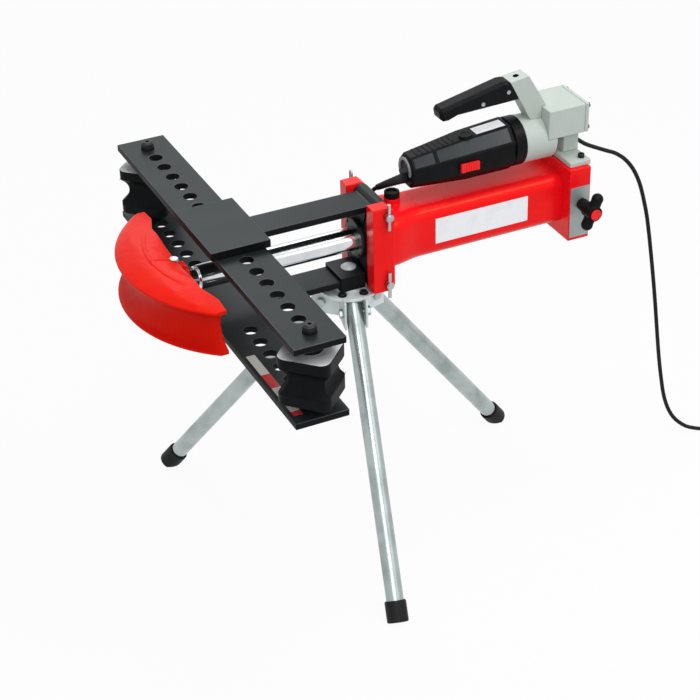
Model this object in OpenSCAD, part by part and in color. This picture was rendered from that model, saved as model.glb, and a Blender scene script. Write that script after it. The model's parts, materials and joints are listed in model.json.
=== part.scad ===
// Hydraulic pipe bender on a tripod, with an electric pump.
// Modelled about the ram axis: x runs back along the ram, y to the far side, z up.
// The whole machine is then moved so that its box stands centred on the origin.

/* [Cross plates] */
// Length of each cross plate
plate_len = 662; // [600:1:720]
// Width of the upper cross plate
plate_w = 75; // [64:1:90]
// Width of the lower cross plate
lower_plate_w = 78; // [64:1:90]
// Thickness of the plates and of the arms
plate_t = 10; // [8:0.5:14]
// Clear height between the plates
plate_gap = 104; // [100:1:120]
// Spacing of the pin holes
hole_pitch = 35; // [33:0.5:36]
// Distance of the innermost pin hole from the middle
hole_first = 88; // [86:1:92]
// Diameter of the pin holes
hole_d = 20.5; // [20.3:0.1:21]
// Length of the saddle plate across the machine
saddle_len = 140; // [120:1:150]
// Width of the saddle plate along the machine
saddle_w = 90; // [84:1:100]
// Thickness of the saddle plate
saddle_t = 12; // [8:0.5:16]
// Width of the arms
arm_w = 52; // [44:1:56]

/* [Flange and cylinder] */
// Front face of the flange, from the pin line
flange_x = 210; // [206:1:220]
// Length of the flange
flange_len = 34.5; // [33:0.5:38]
// Width of the flange
flange_w = 112; // [108:1:120]
// Height of the flange
flange_h = 138; // [132:1:146]
// Clear width between the flange cheeks
channel_w = 66; // [64:1:68]
// Hinge pin diameter
hinge_d = 12; // [10:0.5:13]
// Height of the hinge pins above and below the ram axis
hinge_z = 56; // [55:0.5:58]
// Width and height of the cylinder's body
cyl_w = 82; // [80:1:84]
// Corner radius of the cylinder's body
cyl_corner = 18; // [14:1:22]
// Wall of the cylinder's body
cyl_wall = 4; // [3:0.5:5]
// Length of the cylinder
cyl_len = 287.5; // [270:0.5:300]
// Bore of the pressure tube
bore_d = 56; // [52:1:58]
// Wall of the pressure tube
tube_wall = 6; // [4:0.5:7]
// Ram diameter
ram_d = 36; // [30:1:38]
// Front face of the ram, from the pin line
ram_front = -42; // [-46:1:-40]
// Retraction of the ram
ram_stroke = 210; // [150:5:210]

/* [Former] */
// Outside diameter of the largest pipe
pipe_d = 60.3; // [59:0.1:61]
// Play between the pipe and its grooves
pipe_play = 0.4; // [0.2:0.1:1]
// Bend radius at the pipe axis
bend_r = 204; // [196:1:206]
// Front of the pipe axis at mid bend, before the pin line
bend_front = 151; // [146:1:156]
// Back of the former at its middle, before the pin line
former_back = 72; // [68:1:74]
// Back of the former at its ends, before the pin line
former_horn = 60; // [58:1:62]
// Rear face of the former's boss, before the pin line
boss_end = 58; // [54:1:60]
// Height of the former's ridge above the ram axis at its middle
former_ridge = 45; // [42:0.5:47]
// Height of the former's ridge at its ends
former_tip = 35; // [34:0.5:40]

/* [Counter formers] */
// Side of the square counter former
support_w = 75; // [72:1:78]
// Height of its body
support_h = 72; // [68:1:76]
// Radius of its corners
support_corner = 14; // [10:1:18]
// Pin diameter
pin_d = 19.9; // [19.6:0.1:20]
// Diameter of the pin's upper part
pin_top_d = 17.2; // [16:0.1:17.2]
// Height of the pin above the upper plate
pin_proud = 12; // [10:0.5:14]
// Lift of the pin
pin_lift = 120; // [80:5:120]

/* [Rear block and pump] */
// Length of the rear block
block_len = 35.5; // [34:0.5:40]
// Width of the rear block
block_w = 128; // [120:1:136]
// Height of the rear block
block_h = 119; // [112:1:120]
// Height of the motor shaft above the ram axis
motor_z = 98; // [97:0.5:98]
// Radius of the neck behind the motor
neck_r = 36.5; // [36:0.5:37]
// Thickness of the pump base plate
base_t = 8.5; // [7:0.5:9]
// Underside of the gearbox above the ram axis
gear_z = 103; // [102:0.5:103.5]
// Height of the gearbox
gear_h = 47; // [46:1:52]

/* [Tripod] */
// Height of the ram axis above the floor
axis_h = 466; // [440:1:500]
// Distance of the tripod axis behind the pin line
tripod_x = 195; // [192:1:196]
// Turn of the tripod about its own axis
tripod_turn = 16; // [10:1:20]
// Radius at which the leg axes meet the floor
foot_r = 320; // [300:1:340]
// Outer diameter of the legs
leg_d = 26; // [24:0.5:27]
// Wall of the legs
leg_wall = 2.5; // [1.5:0.5:3]

/* [Cord] */
// Cord diameter
cord_d = 6.5; // [6:0.1:7]
// Radius of the coil's outer turn
coil_r = 45; // [44:0.5:46]
// Play of the coil's turns
coil_play = 0.7; // [0.6:0.1:0.9]

/* [Fits] */
// Radial play of turning and sliding steel
run_gap = 0.05; // [0.02:0.01:0.1]
// Play between faces that pass each other
face_gap = 0.3; // [0.2:0.05:0.5]

/* [Hidden] */
$fn = 96;
eps = 0.01;
plate_z = plate_gap / 2;
plate_top = plate_z + plate_t;
hole_n = 7;
pin_y = hole_first + (hole_n - 1) * hole_pitch;
flange_x1 = flange_x + flange_len;
block_x = flange_x1 + cyl_len;
block_x1 = block_x + block_len;
knuckle_r = 12.5;
knuckle_w = channel_w - 2;
hinge_x = flange_x1 - 11.5;
tank_r = cyl_w / 2;
filler_x = flange_x1 + 25.5;
filler_y = 5;
filler_z = 50;
bore_r = bore_d / 2;
tube_r = bore_r + tube_wall;
ram_r = ram_d / 2;
piston_x = 300;
piston_len = 26;
nose_r = 13;
nose_len = 44;
retainer_x = ram_front - 0.75 * nose_len;
retainer_seat = 36;
bend_x = bend_r - bend_front;
former_end = 0.7745 * bend_r;
crown_drop = former_ridge - former_tip;
crown_r = (former_end * former_end + crown_drop * crown_drop) / (2 * crown_drop);
gland_r = 29;
groove_r = (pipe_d + pipe_play) / 2;
rim_z = 33;
support_face = support_w / 2;
support_flat = support_face - support_corner;
leg_offset = 59.4;
gear_x = 509;
gear_x1 = 571;
cover_t = 6;
screw_head = 3;
base_z = block_h / 2;
base_top = base_z + base_t;
pinion_n = 14;
gear_n = 24;
tooth_m = 1.5;
drive_z = motor_z + tooth_m * (pinion_n + gear_n) / 2;
motor_x = 290;
switch_travel = 5;
ring_x = 456;
neck_x = 474;
neck_x1 = 525;
valve_x = 552;
knob_y = -block_w / 2;
valve_z = 2;
valve_r = 7;
dowel_r = 2.6;
foot_lift = 2;
foot_len = 32;
block_low = -70;
spigot_r = 11;
leg_r = leg_d / 2;
pivot_r = 38;
pivot_z = -102;
bolt_r = 4;
leg_tilt = atan((foot_r - pivot_r) / (axis_h + pivot_z));
leg_len = (axis_h + pivot_z) / cos(leg_tilt);
leg_az = [tripod_turn, tripod_turn + 120, tripod_turn - 120];
mid_x = (bend_x - bend_r + gear_x1 + cover_t + screw_head) / 2;
cord_r = cord_d / 2;
floor_z = -axis_h;
run_z = floor_z + cord_r;
tie_t = 1.4;
coil_z = floor_z + tie_t + 0.4 + cord_r;
coil_pitch = cord_d + coil_play;
coil_turns = 3;
coil_c = [820, -180];
coil_start = 53.13;

red = [0.85, 0.04, 0.08];
black = [0.07, 0.07, 0.08];
grey = [0.72, 0.75, 0.73];
steel = [0.75, 0.76, 0.78];

// Helpers

module at_axis() translate([-mid_x, 0, axis_h]) children();

module box(x0, x1, y0, y1, z0, z1) translate([x0, y0, z0]) cube([x1 - x0, y1 - y0, z1 - z0]);

module rod_x(x0, x1, r) translate([x0, 0, 0]) rotate([0, 90, 0]) cylinder(r = r, h = x1 - x0);

module rod_y(y0, y1, r) translate([0, y0, 0]) rotate([-90, 0, 0]) cylinder(r = r, h = y1 - y0);

module rod_z(z0, z1, r) translate([0, 0, z0]) cylinder(r = r, h = z1 - z0);

// A side profile drawn in x and z, given a width in y
module side_shape(y0, y1, pts) translate([0, y1, 0]) rotate([90, 0, 0]) linear_extrude(y1 - y0) polygon(pts);

module pin_holes(z0, z1) {
  for (s = [-1, 1])
    for (i = [0:hole_n - 1])
      translate([0, s * (hole_first + i * hole_pitch), 0]) rod_z(z0 - 1, z1 + 1, hole_d / 2);
}

// Leg frame: z runs down the leg from its pivot
module leg_frame(k)
  translate([tripod_x, 0, 0])
    rotate([0, 0, leg_az[k]])
      translate([pivot_r, 0, pivot_z])
        rotate([0, 180 - leg_tilt, 0])
          children();

// Tube swept along points
function unit(v) = v / norm(v);
function heading(p, i) =
  let (n = len(p) - 1)
  i == 0 ? unit(p[1] - p[0]) : i == n ? unit(p[n] - p[n - 1])
  : unit(unit(p[i] - p[i - 1]) + unit(p[i + 1] - p[i]));
function side_dir(t, s) = unit(s - t * (s * t));
function sides(p, i, s) =
  let (u = side_dir(heading(p, i), s))
  i == len(p) - 1 ? [u] : concat([u], sides(p, i + 1, u));
function ring(c, t, u, r, n) =
  let (v = cross(t, u))
  [for (k = [0:n - 1]) c + r * (cos(360 * k / n) * u + sin(360 * k / n) * v)];

module sweep(p, r, n, s0) {
  m = len(p);
  u = sides(p, 0, s0);
  pts = [for (i = [0:m - 1]) each ring(p[i], heading(p, i), u[i], is_list(r) ? r[i] : r, n)];
  wall = [for (i = [0:m - 2]) for (k = [0:n - 1])
    [i * n + k, (i + 1) * n + k, (i + 1) * n + (k + 1) % n, i * n + (k + 1) % n]];
  polyhedron(
    points = pts,
    faces = concat(wall, [[for (k = [0:n - 1]) k]], [[for (k = [n - 1:-1:0]) (m - 1) * n + k]]),
    convexity = 6
  );
}

// Gear wheel blank with straight teeth, in y and z
function tooth_pts(n, turn) =
  let (rp = tooth_m * n / 2, a = 360 / n)
  [for (k = [0:n - 1]) for (q = [[-0.27, -1], [-0.12, 0.75], [0.12, 0.75], [0.27, -1]])
    let (w = turn + a * (k + q[0]), r = rp + tooth_m * q[1]) [r * cos(w), r * sin(w)]];

module wheel(x0, x1, n, turn) translate([x0, 0, 0]) rotate([90, 0, 90])
  linear_extrude(x1 - x0) polygon(tooth_pts(n, turn));

// Frame

module tank_shape(x0, x1, half, r) translate([x0, 0, 0]) rotate([90, 0, 90]) linear_extrude(x1 - x0) union() {
  square([2 * half, 2 * (half - r)], center = true);
  square([2 * (half - r), 2 * half], center = true);
  for (a = [0:90:270])
    rotate(a) translate([half - r, half - r]) circle(r = r);
}

module cylinder_tube() color(red) at_axis() difference() {
  union() {
    tank_shape(flange_x1, block_x, tank_r, cyl_corner);
    translate([filler_x, filler_y, 0]) rod_z(tank_r - cyl_wall + 1, filler_z, 12);
  }
  tank_shape(flange_x1 - 1, block_x + 1, tank_r - cyl_wall, cyl_corner - cyl_wall);
  translate([filler_x, filler_y, 0]) rod_z(tank_r - cyl_wall - 2, filler_z + 5, 8 + run_gap);
}

module pressure_tube() color(steel) at_axis() difference() {
  rod_x(flange_x1, block_x + 6, tube_r);
  rod_x(flange_x1 - 1, block_x + 7, bore_r);
}

module front_flange() color(red) at_axis() difference() {
  union() {
    for (s = [-1, 1])
      side_shape(
        s < 0 ? -flange_w / 2 : channel_w / 2,
        s < 0 ? -channel_w / 2 : flange_w / 2,
        [
          [flange_x, -flange_h / 2], [flange_x1 - 8, -flange_h / 2], [flange_x1, -flange_h / 2 + 8],
          [flange_x1, flange_h / 2 - 8], [flange_x1 - 8, flange_h / 2], [flange_x, flange_h / 2]
        ]
      );
    box(flange_x, flange_x + 9, -channel_w / 2 - 1, channel_w / 2 + 1, -plate_z + 0.1, plate_z - 0.1);
    box(flange_x + 8, flange_x1, -channel_w / 2 - 1, channel_w / 2 + 1, -42, 42);
  }
  rod_x(flange_x - 1, flange_x1 + 1, gland_r);
  for (s = [-1, 1])
    translate([hinge_x, 0, s * hinge_z]) rod_y(-flange_w, flange_w, hinge_d / 2 + run_gap);
}

module gland_nut() color(black) at_axis() difference() {
  union() {
    rod_x(flange_x - 6, flange_x, gland_r + 1);
    rod_x(flange_x - 1, flange_x1, gland_r - run_gap);
    rod_x(flange_x1 - 1, flange_x1 + 7.5, bore_r - run_gap);
  }
  rod_x(flange_x - 7, flange_x1 + 9, ram_r + run_gap);
  rod_x(flange_x + 18, flange_x + 24, ram_r + 4);
  for (a = [45:90:315])
    rotate([a, 0, 0]) box(flange_x - 7, flange_x - 1, -3, 3, gland_r - 3, gland_r + 3);
}

module rod_seal() color(black) at_axis() difference() {
  rod_x(flange_x + 18.2, flange_x + 23.8, ram_r + 3.9);
  rod_x(flange_x + 17, flange_x + 25, ram_r + run_gap);
}

module rear_block() color(red) at_axis() difference() {
  box(block_x, block_x1, -block_w / 2, block_w / 2, -block_h / 2, block_h / 2);
  rod_x(block_x - 1, block_x + 6, tube_r + run_gap);
  rod_x(block_x + 5, block_x + 10, bore_r);
  rod_x(block_x + 9, valve_x, 3);
  translate([valve_x, 0, valve_z]) rod_y(-block_w / 2 - 1, -24, valve_r + run_gap);
  translate([valve_x, 0, valve_z]) rod_y(-25, 4, 3);
  for (s = [-1, 1])
    translate([561, s * 45, 0]) rod_z(base_z - 14, base_z + 1, 3);
}

module valve_plate() color(steel) at_axis() difference() {
  box(block_x + 1.5, block_x1 - 1.5, -block_w / 2 - 1.2, -block_w / 2, -54, 30);
  translate([valve_x, 0, valve_z]) rod_y(-block_w / 2 - 2, -block_w / 2 + 1, valve_r + 1);
}

module filler_plug() color(black) at_axis() translate([filler_x, filler_y, 0]) {
  rod_z(filler_z - 9, filler_z + 2, 8);
  difference() {
    rod_z(filler_z + 0.1, filler_z + 9.5, 11.5);
    rod_z(filler_z + 7, filler_z + 11, 8);
    for (a = [0:30:330])
      rotate([0, 0, a]) translate([12.3, 0, 0]) rod_z(filler_z - 1, filler_z + 11, 1.3);
  }
}

// Ram

module ram_rod() color(steel) at_axis() difference() {
  union() {
    rod_x(ram_front, piston_x, ram_r);
    rod_x(ram_front - nose_len, ram_front + 1, nose_r);
    rod_x(piston_x - 1, piston_x + piston_len, 12);
  }
  translate([retainer_x, 0, 0]) rod_z(-20, 20, 4 + run_gap);
}

module ram_piston() color(steel) at_axis() difference() {
  rod_x(piston_x, piston_x + piston_len, bore_r - run_gap);
  rod_x(piston_x - 1, piston_x + piston_len + 1, 12);
  difference() {
    rod_x(piston_x + 10, piston_x + 16, bore_r + 1);
    rod_x(piston_x + 9, piston_x + 17, bore_r - 4);
  }
}

module piston_seal() color(black) at_axis() difference() {
  rod_x(piston_x + 10.2, piston_x + 15.8, bore_r - run_gap);
  rod_x(piston_x + 9, piston_x + 17, bore_r - 3.9);
}

spring_wire = 4;
spring_turns = 7;
spring_x0 = flange_x1 + 7.5 + spring_wire / 2 + 0.2;
spring_x1 = piston_x - spring_wire / 2 - 0.2;
spring_pts = [for (k = [0:spring_turns * 12])
  [spring_x0 + (spring_x1 - spring_x0) * k / (spring_turns * 12), 23 * cos(30 * k), 23 * sin(30 * k)]];

module return_spring() color(steel) at_axis() sweep(spring_pts, spring_wire / 2, 6, [1, 0, 0]);

// Former

former_half = [
  [bend_r, rim_z], [bend_r - 8, rim_z + 0.38 * (former_ridge - rim_z)],
  [bend_r - 20, rim_z + 0.72 * (former_ridge - rim_z)], [bend_r - 32, rim_z + 0.93 * (former_ridge - rim_z)],
  [bend_r - 42, former_ridge], [bend_r - 52, rim_z + 0.94 * (former_ridge - rim_z)],
  [bend_r - 64, rim_z + 0.7 * (former_ridge - rim_z)], [bend_r - 76, rim_z + 0.33 * (former_ridge - rim_z)],
  [bend_r - 88, rim_z - 2], [bend_r - 110, rim_z - 4]
];
former_outline = concat(former_half, [for (k = [len(former_half) - 1:-1:0]) [former_half[k][0], -former_half[k][1]]]);
former_rib = [
  [-108, former_ridge - 4], [-92, former_ridge - 3], [-76, former_ridge - 8], [4 - former_back, 29], [-boss_end, 27],
  [-boss_end, -27], [4 - former_back, -29], [-76, 8 - former_ridge], [-92, 3 - former_ridge], [-108, 4 - former_ridge]
];
former_rear = [
  [-former_horn, -400], [-former_horn, -0.82 * former_end], [-former_back, -0.6 * former_end],
  [-former_back, 0.6 * former_end], [-former_horn, 0.82 * former_end], [-former_horn, 400], [100, 400], [100, -400]
];

module former() color(red) at_axis() difference() {
  union() {
    intersection() {
      difference() {
        translate([bend_x, 0, 0]) rotate([0, 0, 118]) rotate_extrude(angle = 124, $fn = 160) difference() {
          polygon(former_outline);
          translate([bend_r, 0]) circle(r = groove_r);
        }
        translate([0, 0, -60]) linear_extrude(120) polygon(former_rear);
        for (s = [-1, 1])
          translate([0, s * former_end, 0]) box(-200, 0, s < 0 ? -60 : 0, s < 0 ? 0 : 60, -60, 60);
      }
      translate([0, 0, former_ridge - crown_r]) rod_x(-300, 50, crown_r, $fn = 400);
      translate([0, 0, crown_r - former_ridge]) rod_x(-300, 50, crown_r, $fn = 400);
    }
    side_shape(-10, 10, former_rib);
    rod_x(-former_back - 12, -boss_end, 27);
  }
  rod_x(ram_front - nose_len, ram_front + 1, nose_r + run_gap);
  translate([retainer_x, 0, 0]) rod_z(-30, 60, 4 + run_gap);
  translate([retainer_x, 0, 0]) rod_z(retainer_seat, 60, 6.5 + run_gap);
}

module former_pin() color(steel) at_axis() translate([retainer_x, 0, 0]) {
  rod_z(-28, retainer_seat + 1, 4);
  rod_z(retainer_seat, retainer_seat + 4, 6.5);
}

// Cross plates and arms

module upper_cross_plate() color(black) at_axis() difference() {
  box(-plate_w / 2, plate_w / 2, -plate_len / 2, plate_len / 2, plate_z, plate_top);
  pin_holes(plate_z, plate_top);
}

module upper_saddle() color(black) at_axis()
  box(-saddle_w / 2, saddle_w / 2, -saddle_len / 2, saddle_len / 2, plate_top, plate_top + saddle_t);

module upper_arm() color(black) at_axis() difference() {
  union() {
    box(plate_w / 2, hinge_x, -arm_w / 2, arm_w / 2, plate_z, plate_top);
    translate([hinge_x, 0, hinge_z]) rod_y(-knuckle_w / 2, knuckle_w / 2, knuckle_r);
  }
  translate([hinge_x, 0, hinge_z]) rod_y(-60, 60, hinge_d / 2 + run_gap);
}

module lower_cross_plate() color(black) at_axis() difference() {
  box(-lower_plate_w / 2, lower_plate_w / 2, -plate_len / 2, plate_len / 2, -plate_top, -plate_z);
  pin_holes(-plate_top, -plate_z);
}

module lower_arm() color(black) at_axis()
  box(lower_plate_w / 2, tripod_x - 25, -arm_w / 2, arm_w / 2, -plate_top, -plate_z);

module tripod_socket() color(black) at_axis() difference() {
  union() {
    box(tripod_x - 25, flange_x - 0.5, -arm_w / 2 - 2, arm_w / 2 + 2, block_low, -46);
    box(flange_x - 1, hinge_x, -arm_w / 2, arm_w / 2, -plate_top, -plate_z);
    translate([hinge_x, 0, -hinge_z]) rod_y(-knuckle_w / 2, knuckle_w / 2, knuckle_r);
  }
  translate([hinge_x, 0, -hinge_z]) rod_y(-60, 60, hinge_d / 2 + run_gap);
  translate([tripod_x, 0, 0]) rod_z(block_low - 1, -40, spigot_r + run_gap);
}

module hinge_pin(s) translate([hinge_x, 0, s * hinge_z]) difference() {
  union() {
    rod_y(-65, 67, hinge_d / 2);
    rod_y(-66, -64, hinge_d / 2 - 1.2);
  }
  translate([0, -61, 0]) rod_z(-20, 20, dowel_r + run_gap);
  translate([0, 62, 0]) rod_z(-20, 20, 1.45);
}

module upper_hinge_pin() color(steel) at_axis() hinge_pin(1);

module lower_hinge_pin() color(steel) at_axis() hinge_pin(-1);

module hinge_dowels() color(steel) at_axis()
  for (s = [-1, 1])
    translate([hinge_x, -61, s * hinge_z]) rod_z(-21, 21, dowel_r);

clip_bend = [for (k = [0:10]) [0, 3.6 - 3.6 * cos(18 * k), 14 + 3.6 * sin(18 * k)]];
clip_pts = concat([[0, 0, -14]], [[0, 0, 8]], clip_bend, [[0, 6.8, 4]], [[0, 7.6, -2]], [[0, 9.4, -10]]);

module hairpin_clips() color(steel) at_axis()
  for (s = [-1, 1])
    translate([hinge_x, 62, s * hinge_z]) sweep(clip_pts, 1.4, 8, [1, 0, 0]);

// Counter formers

support_grooves = [groove_r, 24.4, 21.4, 17.1];

module support_body() difference() {
  union() {
    translate([0, 0, -support_h / 2]) linear_extrude(support_h) union() {
      square([support_w, 2 * support_flat], center = true);
      square([2 * support_flat, support_w], center = true);
      for (a = [0:90:270])
        rotate(a) translate([support_flat, support_flat]) circle(r = support_corner);
    }
    rod_z(-plate_z, plate_z - face_gap, 17);
  }
  rod_z(-60, 60, pin_d / 2 + run_gap);
  for (k = [0:3])
    rotate([0, 0, 90 * k])
      translate([k == 0 ? leg_offset : support_face + support_grooves[k] * 0.45, 0, 0])
        rod_y(-70, 70, support_grooves[k]);
}

module support_near() color(black) at_axis() translate([0, -pin_y, 0]) rotate([0, 0, 45]) support_body();

module support_far() color(black) at_axis() translate([0, pin_y, 0])
  mirror([0, 1, 0]) rotate([0, 0, 45]) support_body();

module support_pin() difference() {
  union() {
    rod_z(-plate_top - 1.5, plate_top + 3, pin_d / 2);
    translate([0, 0, plate_top + 3 - eps]) cylinder(r1 = pin_d / 2, r2 = pin_top_d / 2, h = pin_proud - 5);
    translate([0, 0, plate_top + pin_proud - 2 - 2 * eps])
      cylinder(r1 = pin_top_d / 2, r2 = pin_top_d / 2 - 2, h = 2);
  }
  rod_z(plate_top + pin_proud - 8, plate_top + pin_proud + 1, 2.6);
}

module pin_near() color(steel) at_axis() translate([0, -pin_y, 0]) support_pin();

module pin_far() color(steel) at_axis() translate([0, pin_y, 0]) support_pin();

// Release valve

module valve_spindle() color(steel) at_axis() translate([valve_x, 0, valve_z]) {
  rod_y(knob_y - 36, -30, valve_r);
  translate([0, -30, 0]) rotate([-90, 0, 0]) cylinder(r1 = valve_r, r2 = 2, h = 5.5);
}

module release_knob() color(black) at_axis() translate([valve_x, 0, valve_z]) difference() {
  union() {
    rod_y(knob_y - 43, knob_y - 20, 12);
    rod_y(knob_y - 21, knob_y - 4, 9.5);
    for (s = [-1, 1]) {
      translate([0, knob_y - 33, 0]) rotate([0, 22.5 + (s < 0 ? 180 : 0), 0]) rod_z(0, 21, 8.6);
      translate([0, knob_y - 33, 0]) rotate([0, 22.5 + (s < 0 ? 180 : 0), 0]) translate([0, 0, 21]) sphere(r = 9);
    }
  }
  rod_y(knob_y - 36, knob_y - 3, valve_r);
}

module knob_cap() color(red) at_axis() translate([valve_x, 0, valve_z]) rod_y(knob_y - 45.5, knob_y - 43, 8.5);

// Pump

module pump_base() color(grey) at_axis() difference() {
  box(block_x + 4, gear_x1, -57, 57, base_z, base_top);
  for (s = [-1, 1])
    translate([561, s * 45, 0]) rod_z(base_z - 1, base_top + 1, 3.2);
}

module pump_pedestal() color(grey) at_axis() difference() {
  box(gear_x1 - 26, gear_x1, -20, 20, base_top, gear_z);
  translate([554, 0, 0]) rod_z(base_top - 1, gear_z + 1, 7 + run_gap);
}

module pump_plunger() color(steel) at_axis() translate([554, 0, 0]) rod_z(base_top + 4, drive_z - 12.5 - face_gap, 7);

module gearbox_housing() color(grey) at_axis() difference() {
  box(gear_x, gear_x1, -37, 37, gear_z, gear_z + gear_h);
  box(gear_x + 4, gear_x1 + 1, -33, 33, gear_z + 4, gear_z + gear_h - 4);
  box(gear_x + 4, neck_x1 + 0.5, -13, 13, gear_z - 1, gear_z + 5);
  translate([554, 0, 0]) rod_z(gear_z - 1, gear_z + 5, 7 + run_gap);
  translate([0, 0, drive_z]) rod_x(gear_x + 0.5, gear_x + 5, 4 + run_gap);
}

module gearbox_cover() color(grey) at_axis() difference() {
  box(gear_x1, gear_x1 + cover_t, -37, 37, gear_z, gear_z + gear_h);
  translate([0, 0, drive_z]) rod_x(gear_x1 - 1, gear_x1 + 4, 4 + run_gap);
  for (y = [-31, 31])
    for (z = [gear_z + 6, gear_z + gear_h - 6])
      translate([0, y, z]) rod_x(gear_x1 - 1, gear_x1 + cover_t + 1, 2.1);
}

module pump_screws() color(black) at_axis() {
  for (y = [-31, 31])
    for (z = [gear_z + 6, gear_z + gear_h - 6])
      translate([0, y, z]) difference() {
        union() {
          rod_x(gear_x1, gear_x1 + cover_t + 1, 2);
          rod_x(gear_x1 + cover_t, gear_x1 + cover_t + screw_head, 3.8);
        }
        rod_x(gear_x1 + cover_t + 1, gear_x1 + cover_t + screw_head + 1, 1.7);
      }
  for (s = [-1, 1])
    translate([561, s * 45, 0]) difference() {
      union() {
        rod_z(base_z - 12, base_top + 1, 2.9);
        rod_z(base_top, base_top + 6, 5);
      }
      rod_z(base_top + 2.5, base_top + 7, 2.6);
    }
}

module motor_neck() color(grey) at_axis() difference() {
  translate([0, 0, motor_z]) rod_x(neck_x, neck_x1, neck_r);
  translate([0, 0, motor_z]) rod_x(neck_x + 6, neck_x1 - 2.5, neck_r - 3.5);
  translate([0, 0, motor_z]) rod_x(neck_x - 1, neck_x + 7, 11);
  box(gear_x, neck_x1 + 5, -60, 60, gear_z, gear_z + gear_h);
}

// Handle

lean = [[455, 199.5], [492, 128]];
function lean_x(z) = lean[0][0] + (lean[1][0] - lean[0][0]) * (lean[0][1] - z) / (lean[0][1] - lean[1][1]);

module handle_bracket() color(grey) at_axis() difference() {
  side_shape(-14, 14, [
    lean[0], [lean_x(122), 122], [gear_x, 122], [gear_x, gear_z + gear_h],
    [gear_x + 7, gear_z + gear_h], [gear_x + 7, gear_z + gear_h + 2], [486, 203.5]
  ]);
  translate([0, 0, motor_z]) rod_x(neck_x - 30, neck_x1 + 5, neck_r);
  translate([471, 0, 0]) rod_z(185, 210, 4);
}

module handle_grip() color(black) at_axis() side_shape(-14, 14, [
  [343, 159.5], [360.5, 159.5], [366, 164.5], [lean_x(167.5), 167.5], lean[0], [446, 202.5], [339.5, 179]
]);

// Motor

module motor_slice(x, w, z) translate([x, 0, z]) rotate([90, 0, 90]) linear_extrude(0.5) polygon([
  [-w, -0.5 * w], [-0.5 * w, -w], [0.5 * w, -w], [w, -0.5 * w],
  [w, 0.4 * w], [0.45 * w, w], [-0.45 * w, w], [-w, 0.4 * w]
]);

module motor_housing() color(black) at_axis() difference() {
  union() {
    hull() {
      motor_slice(motor_x, 24, 90);
      motor_slice(330, 28, 92);
    }
    hull() {
      motor_slice(330, 28, 92);
      motor_slice(380, 33, 94.5);
    }
    hull() {
      motor_slice(380, 33, 94.5);
      motor_slice(ring_x - 0.5, 35.5, 98);
    }
  }
  translate([0, 0, motor_z]) rod_x(366, ring_x + 1, 24 + run_gap);
  translate([0, 0, motor_z]) rod_x(306, 367, 14);
  translate([0, 0, motor_z]) rod_x(298.5, 307, 9);
  box(372 - switch_travel - 0.3, 384.3, -40, -29, 89 - 0.3, 94 + 0.3);
}

module motor_ring() color(black) at_axis() translate([0, 0, motor_z]) difference() {
  rod_x(ring_x, neck_x, neck_r + 1);
  rod_x(ring_x - 1, neck_x + 1, 29);
}

module stator() color(steel) at_axis() translate([0, 0, motor_z]) difference() {
  rod_x(370, 430, 24);
  rod_x(369, 431, 15);
}

module motor_bearings() color(steel) at_axis() translate([0, 0, motor_z]) {
  difference() {
    rod_x(299, 306, 9 - run_gap);
    rod_x(298, 307, 4 + run_gap);
  }
  difference() {
    rod_x(neck_x, neck_x + 6, 11 - run_gap);
    rod_x(neck_x - 1, neck_x + 7, 4 + run_gap);
  }
}

module armature() color(steel) at_axis() translate([0, 0, motor_z]) {
  rod_x(300, 521, 4);
  rod_x(372, 428, 14.4);
  rod_x(322, 338, 9);
  rod_x(438, 446, 22);
  wheel(514, 521, pinion_n, 90);
}

module drive_gear() color(steel) at_axis() translate([0, 0, drive_z]) {
  rod_x(gear_x + 1, gear_x1 + 3, 4);
  wheel(514.5, 520.5, gear_n, 7.5);
  translate([0, 0, 2.5]) rod_x(546, 562, 10);
}

module power_switch() color(red) at_axis() difference() {
  union() {
    box(363, 393, -38.5, -33.75, 85, 98);
    box(372, 384, -34, -30, 89, 94);
  }
  for (x = [369:4:387])
    box(x, x + 2, -39, -37.5, 84, 99);
}

// Tripod

module tripod_hub() color(steel) at_axis() translate([tripod_x, 0, 0]) {
  rod_z(block_low - 9, -45, spigot_r);
  translate([0, 0, -45]) difference() {
    translate([0, 0, -9.5]) sphere(r = 14.5);
    rod_z(-40, 0, 30);
  }
  rod_z(block_low - 12, block_low - 0.1, 27);
  rod_z(-128, block_low - 5, 12);
  for (a = leg_az)
    rotate([0, 0, a])
      for (s = [-1, 1])
        difference() {
          box(8, 54, s < 0 ? -leg_r - 4.5 : leg_r + 1.5, s < 0 ? -leg_r - 1.5 : leg_r + 4.5, -122, block_low - 6);
          translate([pivot_r, 0, pivot_z]) rod_y(-30, 30, bolt_r);
        }
  difference() {
    rod_z(block_low - 10, block_low - 5, 46);
    rod_z(block_low - 11, block_low - 4, 11);
  }
}

module leg_bolts() color(steel) at_axis() translate([tripod_x, 0, 0])
  for (a = leg_az)
    rotate([0, 0, a]) translate([pivot_r, 0, pivot_z]) {
      rod_y(-leg_r - 5, leg_r + 5, bolt_r);
      translate([0, -leg_r - 4.5, 0]) rotate([90, 0, 0]) cylinder(r = 7.5, h = 5.3, $fn = 6);
      translate([0, leg_r + 4.5, 0]) rotate([-90, 0, 0]) cylinder(r = 7.5, h = 6.5, $fn = 6);
    }

module leg(k) leg_frame(k) difference() {
  rod_z(-14, leg_len - 14, leg_r);
  rod_z(-15, leg_len - 13, leg_r - leg_wall);
  rod_y(-leg_r - 2, leg_r + 2, bolt_r + run_gap);
}

module foot(k) difference() {
  leg_frame(k) difference() {
    rod_z(leg_len - foot_lift - foot_len, leg_len - foot_lift, leg_r + 3);
    rod_z(leg_len - foot_lift - foot_len - 1, leg_len - 14, leg_r);
  }
  translate([tripod_x, 0, floor_z - 30]) rod_z(0, 30, foot_r + 60);
}

module leg_right() color(steel) at_axis() leg(0);

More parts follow.
